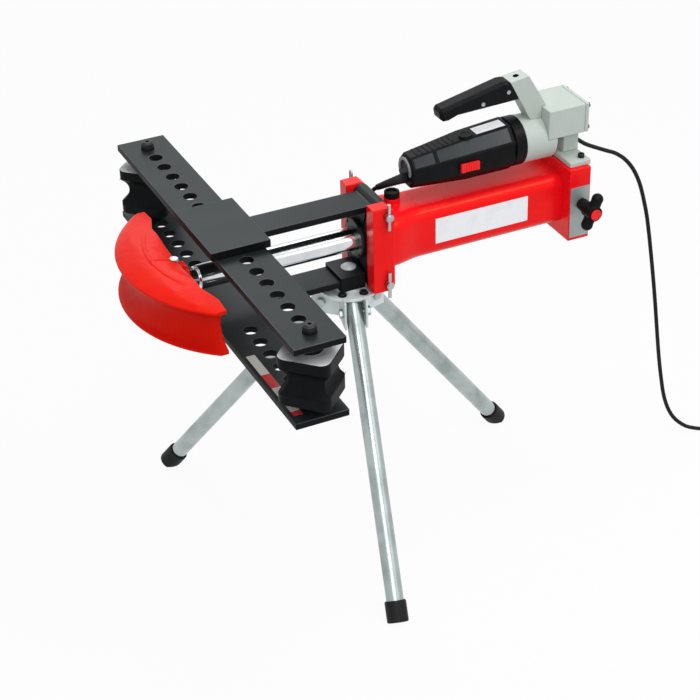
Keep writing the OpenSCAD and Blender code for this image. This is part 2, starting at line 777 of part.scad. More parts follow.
module leg_far() color(steel) at_axis() leg(1);

module leg_near() color(steel) at_axis() leg(2);

module foot_right() color(black) at_axis() foot(0);

module foot_far() color(black) at_axis() foot(1);

module foot_near() color(black) at_axis() foot(2);

// Cord

relief_pts = [[motor_x, 2, 77], [283, 2, 77], [274, 4.5, 74.5], [266, 10.5, 70], [260, 17, 65], [256, 24, 60]];
relief_r = [8, 7.6, 6.8, 6, 5.3, 4.6];
cord_pts = [
  [256, 24, 60], [254, 31, 54], [254, 40, 45], [257, 49, 34], [262, 57, 21], [270, 64, 8], [282, 69, -2],
  [300, 71, -9], [330, 71, -14], [410, 71, -12], [450, 71, -4], [482, 71, 9], [505, 71, 25],
  [520, 71, 40], [531, 70, 54], [539, 66, 65], [544, 59, 71.8], [547, 50, 72.2], [552, 41, 72],
  [569, 27, 72], [579, 24, 70.5], [589, 22, 65], [599, 20, 57], [611, 17, 49], [638, 9, 37],
  [653, 3, 31], [667, -3, 20], [679, -9, 3], [688, -15, -20], [695, -21, -52], [701, -28, -95], [710, -42, -200],
  [718, -54, -310], [723, -60, -362], [729, -66, -404], [739, -74, -434], [754, -83, -452],
  [774, -94, run_z + 2], [823, -126, run_z + 0.8], [847, -144, coil_z]
];

function coil_rad(t) = t < coil_turns ? coil_r - coil_pitch * t : coil_r - coil_pitch * (2 * coil_turns - t);
function coil_rise(t) =
  t < coil_turns - 0.25 ? 0 : t > coil_turns + 0.25 ? coil_pitch : coil_pitch * (t - coil_turns + 0.25) * 2;
function coil_pt(t) =
  let (a = coil_start - 360 * t, r = coil_rad(t))
  [coil_c[0] + r * cos(a), coil_c[1] + r * sin(a), coil_z + coil_rise(t)];
coil_end = coil_pt(2 * coil_turns);
coil_h = [0.8, -0.6, 0];
plug_r = 18;
plug_at = [coil_end[0], coil_end[1], 0] + coil_h * 74 + [0, 0, floor_z + plug_r];
coil_tail = [
  coil_end + coil_h * 14 + [0, 0, 0.5], coil_end + coil_h * 28 + [0, 0, 2], coil_end + coil_h * 44 + [0, 0, 4],
  plug_at - coil_h * 14 - [0, 0, 0.4], plug_at - coil_h * 7, plug_at
];
coil_loops = [for (k = [0:24 * 2 * coil_turns]) coil_pt(k / 24)];
coil_all = concat([cord_pts[len(cord_pts) - 1]], [for (k = [1:len(coil_loops) - 1]) coil_loops[k]], coil_tail);

coil_gap = min([for (i = [0:len(coil_loops) - 1]) for (j = [i + 10:1:len(coil_loops) - 1])
  norm(coil_loops[i] - coil_loops[j])]) - cord_d;
echo(coil_gap = coil_gap);

module strain_relief() color(black) at_axis() sweep(relief_pts, relief_r, 12, [0, 0, 1]);

module mains_cord() color(black) at_axis() sweep(cord_pts, cord_r, 10, [0, 0, 1]);

module cord_coil() color(black) at_axis() sweep(coil_all, cord_r, 6, [0, 0, 1]);

tie_in = coil_r - coil_pitch * coil_turns - cord_r - 1.6;
tie_out = coil_r + cord_r + 1.6;

module coil_tie() color(black) at_axis()
  translate([coil_c[0], coil_c[1], floor_z]) rotate([0, 0, coil_start + 150]) difference() {
    box(tie_in - tie_t, tie_out + tie_t, -4, 4, 0, 2 * tie_t + 0.8 + cord_d + coil_pitch);
    box(tie_in, tie_out, -5, 5, tie_t, tie_t + 0.8 + cord_d + coil_pitch);
  }

module mains_plug() color(black) at_axis() translate(plug_at) rotate([0, 0, -36.87]) {
  rotate([0, 90, 0]) rotate_extrude() polygon([
    [0, 0], [8, 0], [10, 6], [16, 12], [plug_r, 18], [plug_r, 36], [0, 36]
  ]);
  for (s = [-1, 1])
    translate([0, s * 9.5, 0]) rod_x(35, 55, 2.4);
}

cylinder_tube();
pressure_tube();
front_flange();
gland_nut();
rod_seal();
rear_block();
valve_plate();
filler_plug();
ram_rod();
ram_piston();
piston_seal();
return_spring();
former();
former_pin();
upper_cross_plate();
upper_saddle();
upper_arm();
lower_cross_plate();
lower_arm();
tripod_socket();
upper_hinge_pin();
lower_hinge_pin();
hinge_dowels();
hairpin_clips();
support_near();
support_far();
pin_near();
pin_far();
valve_spindle();
release_knob();
knob_cap();
pump_base();
pump_pedestal();
pump_plunger();
gearbox_housing();
gearbox_cover();
pump_screws();
motor_neck();
handle_bracket();
handle_grip();
motor_housing();
motor_ring();
stator();
motor_bearings();
armature();
drive_gear();
power_switch();
tripod_hub();
leg_bolts();
leg_right();
leg_far();
leg_near();
foot_right();
foot_far();
foot_near();
strain_relief();
mains_cord();
cord_coil();
coil_tie();
mains_plug();
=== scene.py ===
"""Looks of a hydraulic pipe bender on a tripod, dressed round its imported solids."""

import json
import logging
import math
from dataclasses import dataclass, field
from enum import Enum
from typing import Callable, Dict, List, Optional, Sequence, Tuple, Union

import bpy
from mathutils import Matrix, Vector


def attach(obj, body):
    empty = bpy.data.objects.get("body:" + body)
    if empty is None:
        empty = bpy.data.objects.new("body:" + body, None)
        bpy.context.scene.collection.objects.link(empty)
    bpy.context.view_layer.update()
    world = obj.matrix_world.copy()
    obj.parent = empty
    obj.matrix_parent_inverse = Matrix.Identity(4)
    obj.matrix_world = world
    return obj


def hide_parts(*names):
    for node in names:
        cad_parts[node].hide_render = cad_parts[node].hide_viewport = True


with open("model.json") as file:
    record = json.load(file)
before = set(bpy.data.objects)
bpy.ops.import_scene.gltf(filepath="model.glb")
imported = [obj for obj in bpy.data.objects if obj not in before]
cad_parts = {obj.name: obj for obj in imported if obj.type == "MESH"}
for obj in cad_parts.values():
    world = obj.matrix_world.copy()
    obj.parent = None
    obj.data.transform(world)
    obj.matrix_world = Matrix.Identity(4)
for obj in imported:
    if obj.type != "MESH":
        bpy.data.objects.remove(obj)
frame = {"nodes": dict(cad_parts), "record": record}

LOG = logging.getLogger("pipe_bender")
MM = 0.001
AXIS_AT = Vector((-0.2145, 0.0, 0.466))
FACING = 0.9  # least cosine of a face that looks along an axis
EDGE_TURN = math.radians(32.0)  # largest turn shaded smooth on rounded pieces
CAST_TURN = math.radians(50.0)  # largest turn shaded smooth on cast and bent pieces
FLAT_TURN = math.radians(0.4)  # largest turn of a seam that is dissolved
DOUBLE_GAP = 0.000005  # metres, for modelled pieces
SEAM_GAP = 0.000004  # metres, for copies of solids
FILM = 0.3  # millimetres

Colour = Tuple[float, float, float]
Pair = Tuple[float, float]
Point = Tuple[float, float, float]
Span = Tuple[float, float, float, float]
Inputs = Dict[Union[str, int], object]
Material = bpy.types.Material
Piece = bpy.types.Object
Test = Callable[[Vector, Vector], bool]


def at(x: float, y: float, z: float) -> Vector:
    """Turn millimetres about the ram axis into a point of the row frame."""
    return AXIS_AT + Vector((x, y, z)) * MM


def faces_up(_centre: Vector, normal: Vector) -> bool:
    """Tell whether a face looks up."""
    return normal.z > FACING


class Sock:
    """A shader socket that takes part in Python arithmetic."""

    def __init__(self, graph: "Graph", link: bpy.types.NodeSocket) -> None:
        """Keep the socket and the graph that it belongs to."""
        self.graph = graph
        self.link = link

    def _math(self, operation: str, first: object, second: object) -> "Sock":
        """Add one Math node."""
        return self.graph.add("Math", {0: first, 1: second}, operation=operation)

    def __add__(self, other: object) -> "Sock":
        """Add."""
        return self._math("ADD", self, other)

    __radd__ = __add__

    def __mul__(self, other: object) -> "Sock":
        """Multiply."""
        return self._math("MULTIPLY", self, other)

    def __sub__(self, other: object) -> "Sock":
        """Subtract."""
        return self._math("SUBTRACT", self, other)

    def __rsub__(self, other: object) -> "Sock":
        """Subtract this from a number."""
        return self._math("SUBTRACT", other, self)

    def __gt__(self, other: object) -> "Sock":
        """Give 1 where this is greater."""
        return self._math("GREATER_THAN", self, other)

    def __lt__(self, other: object) -> "Sock":
        """Give 1 where this is less."""
        return self._math("LESS_THAN", self, other)


class Graph:
    """The node tree of a material or a world."""

    def __init__(self, owner: Union[Material, bpy.types.World]) -> None:
        """Empty the owner's node tree.

        Args:
            owner: The material or world.
        """
        self.owner = owner
        owner.use_nodes = True
        self.tree = owner.node_tree
        self.tree.nodes.clear()

    @classmethod
    def named(cls, name: str) -> "Graph":
        """Start a new material."""
        return cls(bpy.data.materials.new(name))

    def add(
        self, kind: str, inputs: Optional[Inputs] = None, output: Union[str, int] = 0, **settings: object
    ) -> Sock:
        """Add a node.

        Args:
            kind: The shader node's type.
            inputs: Values or sockets by input name or place.
            output: The output that is returned.
            settings: Attributes, set before the inputs.

        Returns:
            The chosen output.
        """
        node = self.tree.nodes.new("ShaderNode" + kind)
        for key, value in settings.items():
            setattr(node, key, value)
        for key, value in (inputs or {}).items():
            if isinstance(value, Sock):
                self.tree.links.new(value.link, node.inputs[key])
            else:
                node.inputs[key].default_value = value
        return Sock(self, node.outputs[output])

    def coords(self, scale: Sequence[float] = (1, 1, 1)) -> Sock:
        """Give Object coordinates, scaled along each axis."""
        raw = self.add("TexCoord", None, "Object")
        return self.add("Mapping", {"Vector": raw, "Scale": scale})

    def noise(self, scale: float, detail: float = 3.0, stretch: Sequence[float] = (1, 1, 1)) -> Sock:
        """Give noise between 0 and 1, of so many waves per metre and octaves, stretched along the axes."""
        place = self.coords(stretch)
        return self.add("TexNoise", {"Vector": place, "Scale": scale, "Detail": detail})

    def ramp(self, value: Sock, low: float, high: float) -> Sock:
        """Stretch a value so that low becomes 0 and high becomes 1."""
        return self.add("MapRange", {"Value": value, "From Min": low, "From Max": high}, clamp=True)

    def mix(self, share: Union[Sock, float], first: object, second: object) -> Sock:
        """Mix two colours, given as values or sockets, by the share of the second."""
        pair = [c if isinstance(c, Sock) else (*c, 1.0) for c in (first, second)]
        return self.add("Mix", {0: share, 6: pair[0], 7: pair[1]}, 2, data_type="RGBA")

    def bump(self, height: Sock, distance: float) -> Sock:
        """Turn a height into a normal."""
        return self.add("Bump", {"Height": height, "Distance": distance, "Strength": 1.0})

    def end(self, shader: Sock, kind: str = "OutputMaterial") -> None:
        """Link a shader to the tree's output."""
        out = self.tree.nodes.new("ShaderNode" + kind)
        self.tree.links.new(shader.link, out.inputs["Surface"])

    def close(self, inputs: Inputs) -> Material:
        """Finish with a Principled shader of these inputs and give the material."""
        self.end(self.add("BsdfPrincipled", inputs))
        return self.owner


@dataclass(frozen=True)
class Paint:
    """Sprayed paint, smooth or over a casting."""

    name: str
    colour: Colour
    shade: Colour
    rough: float
    grain: float
    grain_scale: float
    gloss: float
    tint: Colour = (1.0, 1.0, 1.0)
    peel: float = 0.00003

    def build(self) -> Material:
        """Build the material.

        Returns:
            The material.
        """
        g = Graph.named(self.name)
        cloud = g.ramp(g.noise(14.0, 4.0), 0.35, 0.7)
        dust = g.ramp(g.noise(260.0, 2.0), 0.62, 0.75)
        colour = g.mix(cloud * 0.5 + dust * 0.12, self.colour, self.shade)
        rough = self.rough + cloud * 0.06 + dust * 0.05
        height = g.noise(self.grain_scale, 4.0) * self.grain + g.noise(420.0, 1.0) * self.peel
        return g.close({
            "Base Color": colour,
            "Roughness": rough,
            "Normal": g.bump(height, 1.0),
            "Specular IOR Level": self.gloss,
            "Specular Tint": (*self.tint, 1.0),
        })


@dataclass(frozen=True)
class Metal:
    """Bare metal with fine tool marks along one direction."""

    name: str
    colour: Colour
    dark: Colour
    rough: float
    marks: Point
    mark_depth: float
    metallic: float = 1.0

    def build(self) -> Material:
        """Build the material.

        Returns:
            The material.
        """
        g = Graph.named(self.name)
        lines = g.noise(1.0, 3.0, self.marks)
        stain = g.ramp(g.noise(28.0, 4.0), 0.4, 0.72)
        colour = g.mix(stain * 0.55 + lines * 0.2, self.colour, self.dark)
        rough = self.rough + stain * 0.1 + lines * 0.06
        return g.close({
            "Base Color": colour,
            "Metallic": self.metallic,
            "Roughness": rough,
            "Normal": g.bump(lines, self.mark_depth),
        })


@dataclass(frozen=True)
class Moulded:
    """Moulded plastic or rubber with an etched grain."""

    name: str
    colour: Colour
    worn: Colour
    rough: float
    grain: float
    grain_scale: float
    gloss: float = 0.18

    def build(self) -> Material:
        """Build the material.

        Returns:
            The material.
        """
        g = Graph.named(self.name)
        rub = g.ramp(g.noise(30.0, 4.0), 0.45, 0.75)
        place = {"Vector": g.coords(), "Scale": self.grain_scale}
        cells = g.add("TexVoronoi", place, "Distance", feature="SMOOTH_F1")
        return g.close({
            "Base Color": g.mix(rub * 0.6, self.colour, self.worn),
            "Roughness": self.rough + rub * 0.1 + cells * 0.08,
            "Normal": g.bump(cells, self.grain),
            "Specular IOR Level": self.gloss,
        })


@dataclass(frozen=True)
class Sticker:
    """Plain printed film with a faint edge of dirt."""

    name: str
    colour: Colour
    soil: Colour

    def build(self) -> Material:
        """Build the material.

        Returns:
            The material.
        """
        g = Graph.named(self.name)
        dirt = g.ramp(g.noise(60.0, 5.0), 0.5, 0.8)
        fibre = g.noise(900.0, 2.0)
        return g.close({
            "Base Color": g.mix(dirt * 0.35, self.colour, self.soil),
            "Roughness": 0.34 + dirt * 0.15,
            "Normal": g.bump(fibre, 0.00001),
            "Coat Weight": 0.3,
        })


@dataclass(frozen=True)
class Stripe:
    """White film strip with plain colour blocks and fine ticks along the plate."""

    name: str
    paper: Colour
    block: Colour
    ink: Colour
    start: float
    first_end: float = 0.011
    second_start: float = 0.074
    second_end: float = 0.11
    tick_gap: float = 0.0025
    tick_half: float = 0.00035

    def build(self) -> Material:
        """Build the material.

        Returns:
            The material.
        """
        g = Graph.named(self.name)
        along = g.add("SeparateXYZ", {0: g.coords()}, 1) - self.start
        first = along < self.first_end
        second = (along > self.second_start) * (along < self.second_end)
        cells = g.add("Math", {0: along, 1: self.tick_gap}, operation="PINGPONG")
        tick = (cells < self.tick_half) * (1 - first) * (1 - second)
        blocks = g.mix(first + second, self.paper, self.block)
        soil = g.ramp(g.noise(90.0, 4.0), 0.5, 0.8)
        return g.close({
            "Base Color": g.mix(tick * 0.6, blocks, self.ink),
            "Roughness": 0.36 + soil * 0.15,
            "Coat Weight": 0.2,
        })


class Finish(Enum):
    """The finishes of the machine."""

    RED = Paint(
        "red_gloss_paint", (0.83, 0.006, 0.011), (0.75, 0.004, 0.009), 0.25, 0.00003, 60.0, 0.3,
        (1.0, 0.34, 0.12),
    )
    RED_CAST = Paint(
        "red_cast_paint", (0.69, 0.011, 0.005), (0.58, 0.007, 0.004), 0.3, 0.0007, 70.0, 0.12,
        (1.0, 0.34, 0.1),
    )
    BLACK = Paint(
        "black_satin_paint", (0.008, 0.0105, 0.0115), (0.016, 0.02, 0.021), 0.36, 0.00008, 120.0, 0.17,
        (0.85, 1.0, 1.0),
    )
    # Black cast paint of the counter formers, also laid on upright faces and the flange's recess as painted shade.
    BLACK_CAST = Paint(
        "black_cast_paint_and_shade", (0.005, 0.0055, 0.006), (0.012, 0.013, 0.014), 0.4, 0.0005, 150.0, 0.05
    )
    GREY_CAST = Paint("grey_cast_paint", (0.44, 0.49, 0.447), (0.37, 0.415, 0.38), 0.46, 0.00014, 330.0, 0.3)
    CHROME = Metal("ground_chrome", (0.72, 0.74, 0.76), (0.5, 0.52, 0.54), 0.06, (900.0, 8.0, 8.0), 0.000004)
    STEEL = Metal("turned_steel", (0.52, 0.53, 0.54), (0.3, 0.31, 0.32), 0.22, (40.0, 40.0, 1400.0), 0.00002)
    MILLED = Metal("milled_face", (0.66, 0.67, 0.68), (0.2, 0.21, 0.22), 0.42, (60.0, 1500.0, 60.0), 0.00003, 0.55)
    ZINC = Metal("bright_zinc", (0.44, 0.495, 0.485), (0.2, 0.245, 0.24), 0.23, (160.0, 160.0, 10.0), 0.00002)
    MATT_ZINC = Metal("matt_zinc", (0.72, 0.78, 0.77), (0.5, 0.56, 0.55), 0.5, (60.0, 60.0, 60.0), 0.00002, 0.25)
    DARK_STEEL = Metal(
        "blackened_steel", (0.012, 0.013, 0.014), (0.005, 0.0055, 0.006), 0.36, (40.0, 900.0, 40.0), 0.00002, 0.5
    )
    PLATE = Metal("brushed_plate", (0.36, 0.4, 0.39), (0.25, 0.28, 0.27), 0.36, (1200.0, 30.0, 30.0), 0.00001, 0.5)
    WORN_EDGE = Metal(
        "worn_edge", (0.05, 0.053, 0.056), (0.014, 0.015, 0.016), 0.3, (200.0, 200.0, 200.0), 0.00002, 0.5
    )
    # Black moulding of the plastic parts, also laid inside the bracket's hanging hole as painted shade.
    PLASTIC = Moulded(
        "black_moulding_and_shade", (0.004, 0.0042, 0.0047), (0.009, 0.0095, 0.0105), 0.34, 0.00004, 900.0, 0.08
    )
    PANEL = Moulded("grey_panel", (0.018, 0.0225, 0.0245), (0.027, 0.033, 0.036), 0.3, 0.00003, 1400.0, 0.22)
    GRIP = Moulded("soft_grip", (0.0035, 0.0037, 0.0042), (0.008, 0.0085, 0.0096), 0.34, 0.00008, 520.0, 0.08)
    RIM = Moulded("grey_rim", (0.2, 0.21, 0.215), (0.13, 0.14, 0.145), 0.34, 0.00002, 900.0, 0.4)
    RED_PLASTIC = Moulded("red_moulding", (0.8, 0.016, 0.016), (0.66, 0.01, 0.012), 0.3, 0.00003, 900.0)
    RUBBER = Moulded("black_rubber", (0.007, 0.007, 0.0075), (0.015, 0.015, 0.016), 0.45, 0.00006, 700.0, 0.16)
    LABEL = Sticker("plain_label", (0.78, 0.79, 0.81), (0.58, 0.58, 0.58))
    STRIP = Stripe("scale_strip", (0.5, 0.5, 0.46), (0.46, 0.012, 0.012), (0.05, 0.05, 0.05), -0.313)

    @property
    def material(self) -> Material:
        """The built material, made once."""
        name = self.value.name
        return bpy.data.materials.get(name) or self.value.build()


def clear() -> None:
    """Leave edit mode and deselect everything."""
    if bpy.context.mode != "OBJECT":
        bpy.ops.object.mode_set(mode="OBJECT")
    bpy.ops.object.select_all(action="DESELECT")


def only(piece: Piece) -> None:
    """Select one piece and make it active.

    Args:
        piece: The piece.
    """
    clear()
    piece.select_set(True)
    bpy.context.view_layer.objects.active = piece


def settle(piece: Piece) -> None:
    """Put the piece's place into its mesh."""
    only(piece)
    bpy.ops.object.transform_apply(location=True, rotation=True, scale=True)


def leave() -> None:
    """Go back to object mode."""
    bpy.ops.object.mode_set(mode="OBJECT")


def edit_all(piece: Piece) -> None:
    """Go to edit mode with all of a piece selected.

    Args:
        piece: The piece.
    """
    only(piece)
    bpy.ops.object.mode_set(mode="EDIT")
    bpy.ops.mesh.select_all(action="SELECT")


def _deselect(piece: Piece, kind: str) -> None:
    """Deselect all of a piece's mesh.

    Args:
        piece: The piece.
        kind: What is picked next, FACE or EDGE.
    """
    only(piece)
    bpy.ops.object.mode_set(mode="EDIT")
    bpy.ops.mesh.select_mode(type=kind)
    bpy.ops.mesh.select_all(action="DESELECT")
    leave()


def fresh() -> Piece:
    """Settle the piece that was just added.

    Returns:
        The piece.
    """
    piece = bpy.context.active_object
    settle(piece)
    return piece


def pick(piece: Piece, test: Test) -> None:
    """Select the faces that pass a test and go to edit mode.

    Args:
        piece: The piece.
        test: Takes a face's centre and normal.
    """
    _deselect(piece, "FACE")
    for face in piece.data.polygons:
        face.select = test(face.center, face.normal)
    bpy.ops.object.mode_set(mode="EDIT")


def pick_edges(piece: Piece, test: Test) -> None:
    """Select the edges that pass a test and go to edit mode.

    Args:
        piece: The piece.
        test: Takes the places of an edge's two ends.
    """
    _deselect(piece, "EDGE")
    for edge in piece.data.edges:
        edge.select = test(*(piece.data.vertices[k].co for k in edge.vertices))
    bpy.ops.object.mode_set(mode="EDIT")


def drop(piece: Piece, test: Test) -> None:
    """Delete the faces that pass a test.

    Args:
        piece: The piece.
        test: Takes a face's centre and normal.
    """
    pick(piece, test)
    bpy.ops.mesh.delete(type="FACE")
    leave()


def set_in(piece: Piece, test: Test, steps: Sequence[Pair], slot: Optional[int] = None) -> None:
    """Inset the faces that pass a test, step by step.

    Args:
        piece: The piece.
        test: Takes a face's centre and normal.
        steps: Width and height of each step, in millimetres.
        slot: Material slot of the innermost faces.
    """
    pick(piece, test)
    for width, height in steps:
        bpy.ops.mesh.inset(thickness=width * MM, depth=height * MM)
    if slot is not None:
        piece.active_material_index = slot
        bpy.ops.object.material_slot_assign()
    leave()


def tidy(piece: Piece) -> None:
    """Merge doubles and point the faces outwards.

    Args:
        piece: The piece.
    """
    edit_all(piece)
    bpy.ops.mesh.remove_doubles(threshold=DOUBLE_GAP)
    bpy.ops.mesh.normals_make_consistent(inside=False)
    leave()


def smooth(piece: Piece, turn: float = CAST_TURN) -> None:
    """Shade a piece smooth where its faces turn less than this."""
    only(piece)
    bpy.ops.object.shade_smooth_by_angle(angle=turn)


def solid(piece: Piece) -> Piece:
    """Turn a curve into a tidy mesh, shaded smooth.

    Args:
        piece: The curve.

    Returns:
        The same piece.
    """
    only(piece)
    bpy.ops.object.convert(target="MESH")
    tidy(piece)
    smooth(piece)
    return piece


def modify(piece: Piece, kind: str, **settings: object) -> None:
    """Add a modifier and apply it.

    Args:
        piece: The piece.
        kind: The modifier's type.
        settings: Its settings.
    """
    only(piece)
    modifier = piece.modifiers.new(kind.lower(), kind)
    for key, value in settings.items():
        setattr(modifier, key, value)
    bpy.ops.object.modifier_apply(modifier=modifier.name)


def round_edges(
    piece: Piece, width: float, steps: int = 2, limit: float = 38.0, edge_slot: int = -1
) -> None:
    """Bevel the sharp edges and shade the piece smooth between them.

    Args:
        piece: The piece.
        width: Bevel width in millimetres.
        steps: Bevel segments.
        limit: Angle in degrees from which an edge is sharp.
        edge_slot: Material slot of the bevel, or -1.
    """
    modify(
        piece, "BEVEL", width=width * MM, segments=steps, limit_method="ANGLE",
        angle_limit=math.radians(limit), use_clamp_overlap=False, material=edge_slot,
    )
    smooth(piece, EDGE_TURN)
    modify(piece, "WEIGHTED_NORMAL", keep_sharp=True)


def dress(piece: Piece, name: str, finish: Finish, body: str, slot: str) -> Piece:
    """Name a piece, give it its finish and set it on its body.

    Args:
        piece: The piece.
        name: Its name.
        finish: Its finish.
        body: The body that it rides on.
        slot: The record's material slot; not used.

    Returns:
        The piece.
    """
    piece.name = name
    piece.data.name = name
    if not piece.data.materials:
        piece.data.materials.append(finish.material)
    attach(piece, body)
    LOG.info("%s rides on %s", name, body)
    return piece


def block(low: Vector, high: Vector) -> Piece:
    """Add a box between two corners.

    Args:
        low: Lowest corner.
        high: Highest corner.

    Returns:
        The box.
    """
    clear()
    bpy.ops.mesh.primitive_cube_add(size=1.0, location=(low + high) / 2)
    piece = bpy.context.active_object
    piece.scale = high - low
    settle(piece)
    return piece


def drum(
    centre: Vector, radius: float, depth: float, direction: Vector, sides: int = 48, fill: str = "NGON"
) -> Piece:
    """Add a cylinder along a direction.

    Args:
        centre: Its middle.
        radius: Its radius in millimetres.
        depth: Its length in millimetres.
        direction: Its axis.
        sides: Sides.
        fill: Fill of its ends.

    Returns:
        The cylinder.
    """
    clear()
    bpy.ops.mesh.primitive_cylinder_add(
        vertices=sides, radius=radius * MM, depth=depth * MM, end_fill_type=fill, location=centre,
        rotation=direction.to_track_quat("Z", "Y").to_euler(),
    )
    return fresh()


def again(piece: Piece, shift: Vector) -> Piece:
    """Copy a piece with its own mesh, moved.

    Args:
        piece: The piece.
        shift: How far the copy moves.

    Returns:
        The copy.
    """
    only(piece)
    bpy.ops.object.duplicate(linked=False)
    copy = bpy.context.active_object
    copy.location += shift
    settle(copy)
    return copy


def row(piece: Piece, step: Vector, count: int) -> Piece:
    """Repeat a piece in a straight row, at steps in millimetres, and join the row."""
    return join([piece] + [again(piece, step * k * MM) for k in range(1, count)])


def join(pieces: Sequence[Piece]) -> Piece:
    """Join pieces into the first.

    Args:
        pieces: The pieces.

    Returns:
        The joined piece.
    """
    clear()
    for piece in pieces:
        piece.select_set(True)
    bpy.context.view_layer.objects.active = pieces[0]
    bpy.ops.object.join()
    return pieces[0]


@dataclass
class Skin:
    """A refined copy of one solid, with softened edges."""

    node: str
    finish: Finish
    width: float
    steps: int = 2
    limit: float = 38.0
    edge: Optional[Finish] = None
    # Faces that pass this test get a second finish, used for bare metal and for painted shade.
    bare: Optional[Test] = None
    bare_and_shade_finish: Optional[Finish] = None
    cuts: Sequence[Tuple[Vector, Vector]] = ()

    def body(self) -> str:
        """Name the body that holds the node."""
        bodies = frame["record"]["behaviour"]["bodies"]
        return next(name for name, nodes in bodies.items() if self.node in nodes)

    def slot(self) -> str:
        """Name the node's material slot."""
        return next(p["material_slot"] for p in frame["record"]["subparts"] if p["node"] == self.node)

    def copy(self) -> Piece:
        """Copy the node's mesh, merged and free of flat seams.

        Returns:
            The copy, with no materials.
        """
        mesh = frame["nodes"][self.node].data.copy()
        mesh.materials.clear()
        piece = bpy.data.objects.new(self.node + "_skin", mesh)
        bpy.context.scene.collection.objects.link(piece)
        only(piece)
        bpy.ops.mesh.customdata_custom_splitnormals_clear()
        edit_all(piece)
        bpy.ops.mesh.remove_doubles(threshold=SEAM_GAP)
        bpy.ops.mesh.dissolve_limited(angle_limit=FLAT_TURN)
        for place, normal in self.cuts:
            bpy.ops.mesh.select_all(action="SELECT")
            bpy.ops.mesh.bisect(plane_co=place, plane_no=normal)
        leave()
        return piece

    def build(self) -> Piece:
        """Make the piece and let it stand for its node.

        Returns:
            The piece.
        """
        piece = self.copy()
        piece.data.materials.append(self.finish.material)
        edge_slot = -1
        if self.edge:
            piece.data.materials.append(self.edge.material)
            edge_slot = 1
        round_edges(piece, self.width, self.steps, self.limit, edge_slot)
        # Give the second finish, bare metal or painted shade as set, to the faces that pass the test.
        if self.bare and self.bare_and_shade_finish:
            piece.data.materials.append(self.bare_and_shade_finish.material)
            last = len(piece.data.materials) - 1
            for face in piece.data.polygons:
                if self.bare(face.center, face.normal):
                    face.material_index = last
        dress(piece, self.node + "_skin", self.finish, self.body(), self.slot())
        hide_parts(self.node)
        return piece


@dataclass
class Camera:
    """The camera, at the picture's viewing angle."""

    place: Vector = field(default_factory=lambda: at(-881.0, -2334.4, 1439.6))
    right: Point = (0.90236, -0.43045, -0.02125)
    up: Point = (0.24694, 0.47601, 0.84406)
    back: Point = (-0.35321, -0.7669, 0.53583)
    lens: float = 103.36
    sensor: float = 36.0
    far: float = 50.0

    def build(self) -> None:
        """Add the camera."""
        data = bpy.data.cameras.new("camera")
        data.lens = self.lens
        data.sensor_width = self.sensor
        data.sensor_fit = "HORIZONTAL"
        data.clip_end = self.far
        camera = bpy.data.objects.new("camera", data)
        turn = Matrix((self.right, self.up, self.back)).transposed()
        camera.matrix_world = Matrix.Translation(self.place) @ turn.to_4x4()
        bpy.context.scene.collection.objects.link(camera)
        bpy.context.scene.camera = camera


@dataclass
class Studio:
    """Pale floor, white surround and soft lamps."""

    floor_size: float = 30.0
    floor_drop: float = 0.0005
    floor_glow: float = 0.935
    floor_tone: float = 0.6
    world: float = 0.6
    world_tone: Colour = (0.94, 0.96, 1.0)
    lamps: Sequence[Tuple[str, Point, float, float]] = (
        ("key", (-0.9, -2.6, 2.2), 1.7, 30.0),
        ("side", (1.3, -2.2, 1.7), 1.2, 4.0),
        ("top", (0.2, 0.1, 3.3), 2.0, 46.0),
        ("strip", (1.41, -1.41, 2.75), 0.5, 21.0),
        ("back", (0.5, 2.15, 2.05), 0.9, 6.0),
    )
    target: Point = (0.0, 0.0, 0.4)

    def build(self) -> None:
        """Build floor, world and lamps."""
        bpy.context.scene.view_settings.view_transform = "Standard"
        self._floor()
        self._world()
        for name, place, size, power in self.lamps:
            self._lamp(name, place, size, power)

    @staticmethod
    def _white_for_eye(g: Graph, under: Sock, glow: str, share: float) -> Sock:
        """Lay white over a shader for what looks straight at it or sees it mirrored.

        Args:
            g: The graph.
            under: The shader underneath.
            glow: Type of the white shader.
            share: Share of white.

        Returns:
            The mixed shader.
        """
        rays = ("Is Camera Ray", "Is Glossy Ray", "Is Transmission Ray")
        seen, mirrored, through = (g.add("LightPath", None, ray) for ray in rays)
        white = g.add(glow, {"Color": (1, 1, 1, 1), "Strength": 1.0})
        factor = (seen + mirrored + through) * share
        return g.add("MixShader", {0: factor, 1: under, 2: white})

    def _floor(self) -> None:
        """Add the floor."""
        clear()
        bpy.ops.mesh.primitive_plane_add(size=self.floor_size, location=(0, 0, -self.floor_drop))
        floor = bpy.context.active_object
        floor.name = "floor"
        g = Graph.named("pale_floor")
        tone = self.floor_tone
        matt = g.add("BsdfDiffuse", {"Color": (tone, tone, tone, 1)})
        g.end(self._white_for_eye(g, matt, "Emission", self.floor_glow))
        floor.data.materials.append(g.owner)

    def _world(self) -> None:
        """Light the scene evenly, white where the camera sees past the floor."""
        world = bpy.data.worlds.new("studio")
        bpy.context.scene.world = world
        g = Graph(world)
        soft = g.add("Background", {"Color": (*self.world_tone, 1), "Strength": self.world})
        g.end(self._white_for_eye(g, soft, "Background", 1.0), "OutputWorld")

    def _lamp(self, name: str, place: Point, size: float, power: float) -> None:
        """Add a square soft lamp that faces the machine.

        Args:
            name: Its name.
            place: Its place in metres.
            size: Its side in metres.
            power: Its power in watts.
        """
        data = bpy.data.lights.new(name, "AREA")
        data.shape = "SQUARE"
        data.size = size
        data.energy = power
        lamp = bpy.data.objects.new(name, data)
        lamp.location = place
        aim = Vector(self.target) - Vector(place)
        lamp.rotation_euler = aim.to_track_quat("-Z", "Y").to_euler()
        bpy.context.scene.collection.objects.link(lamp)


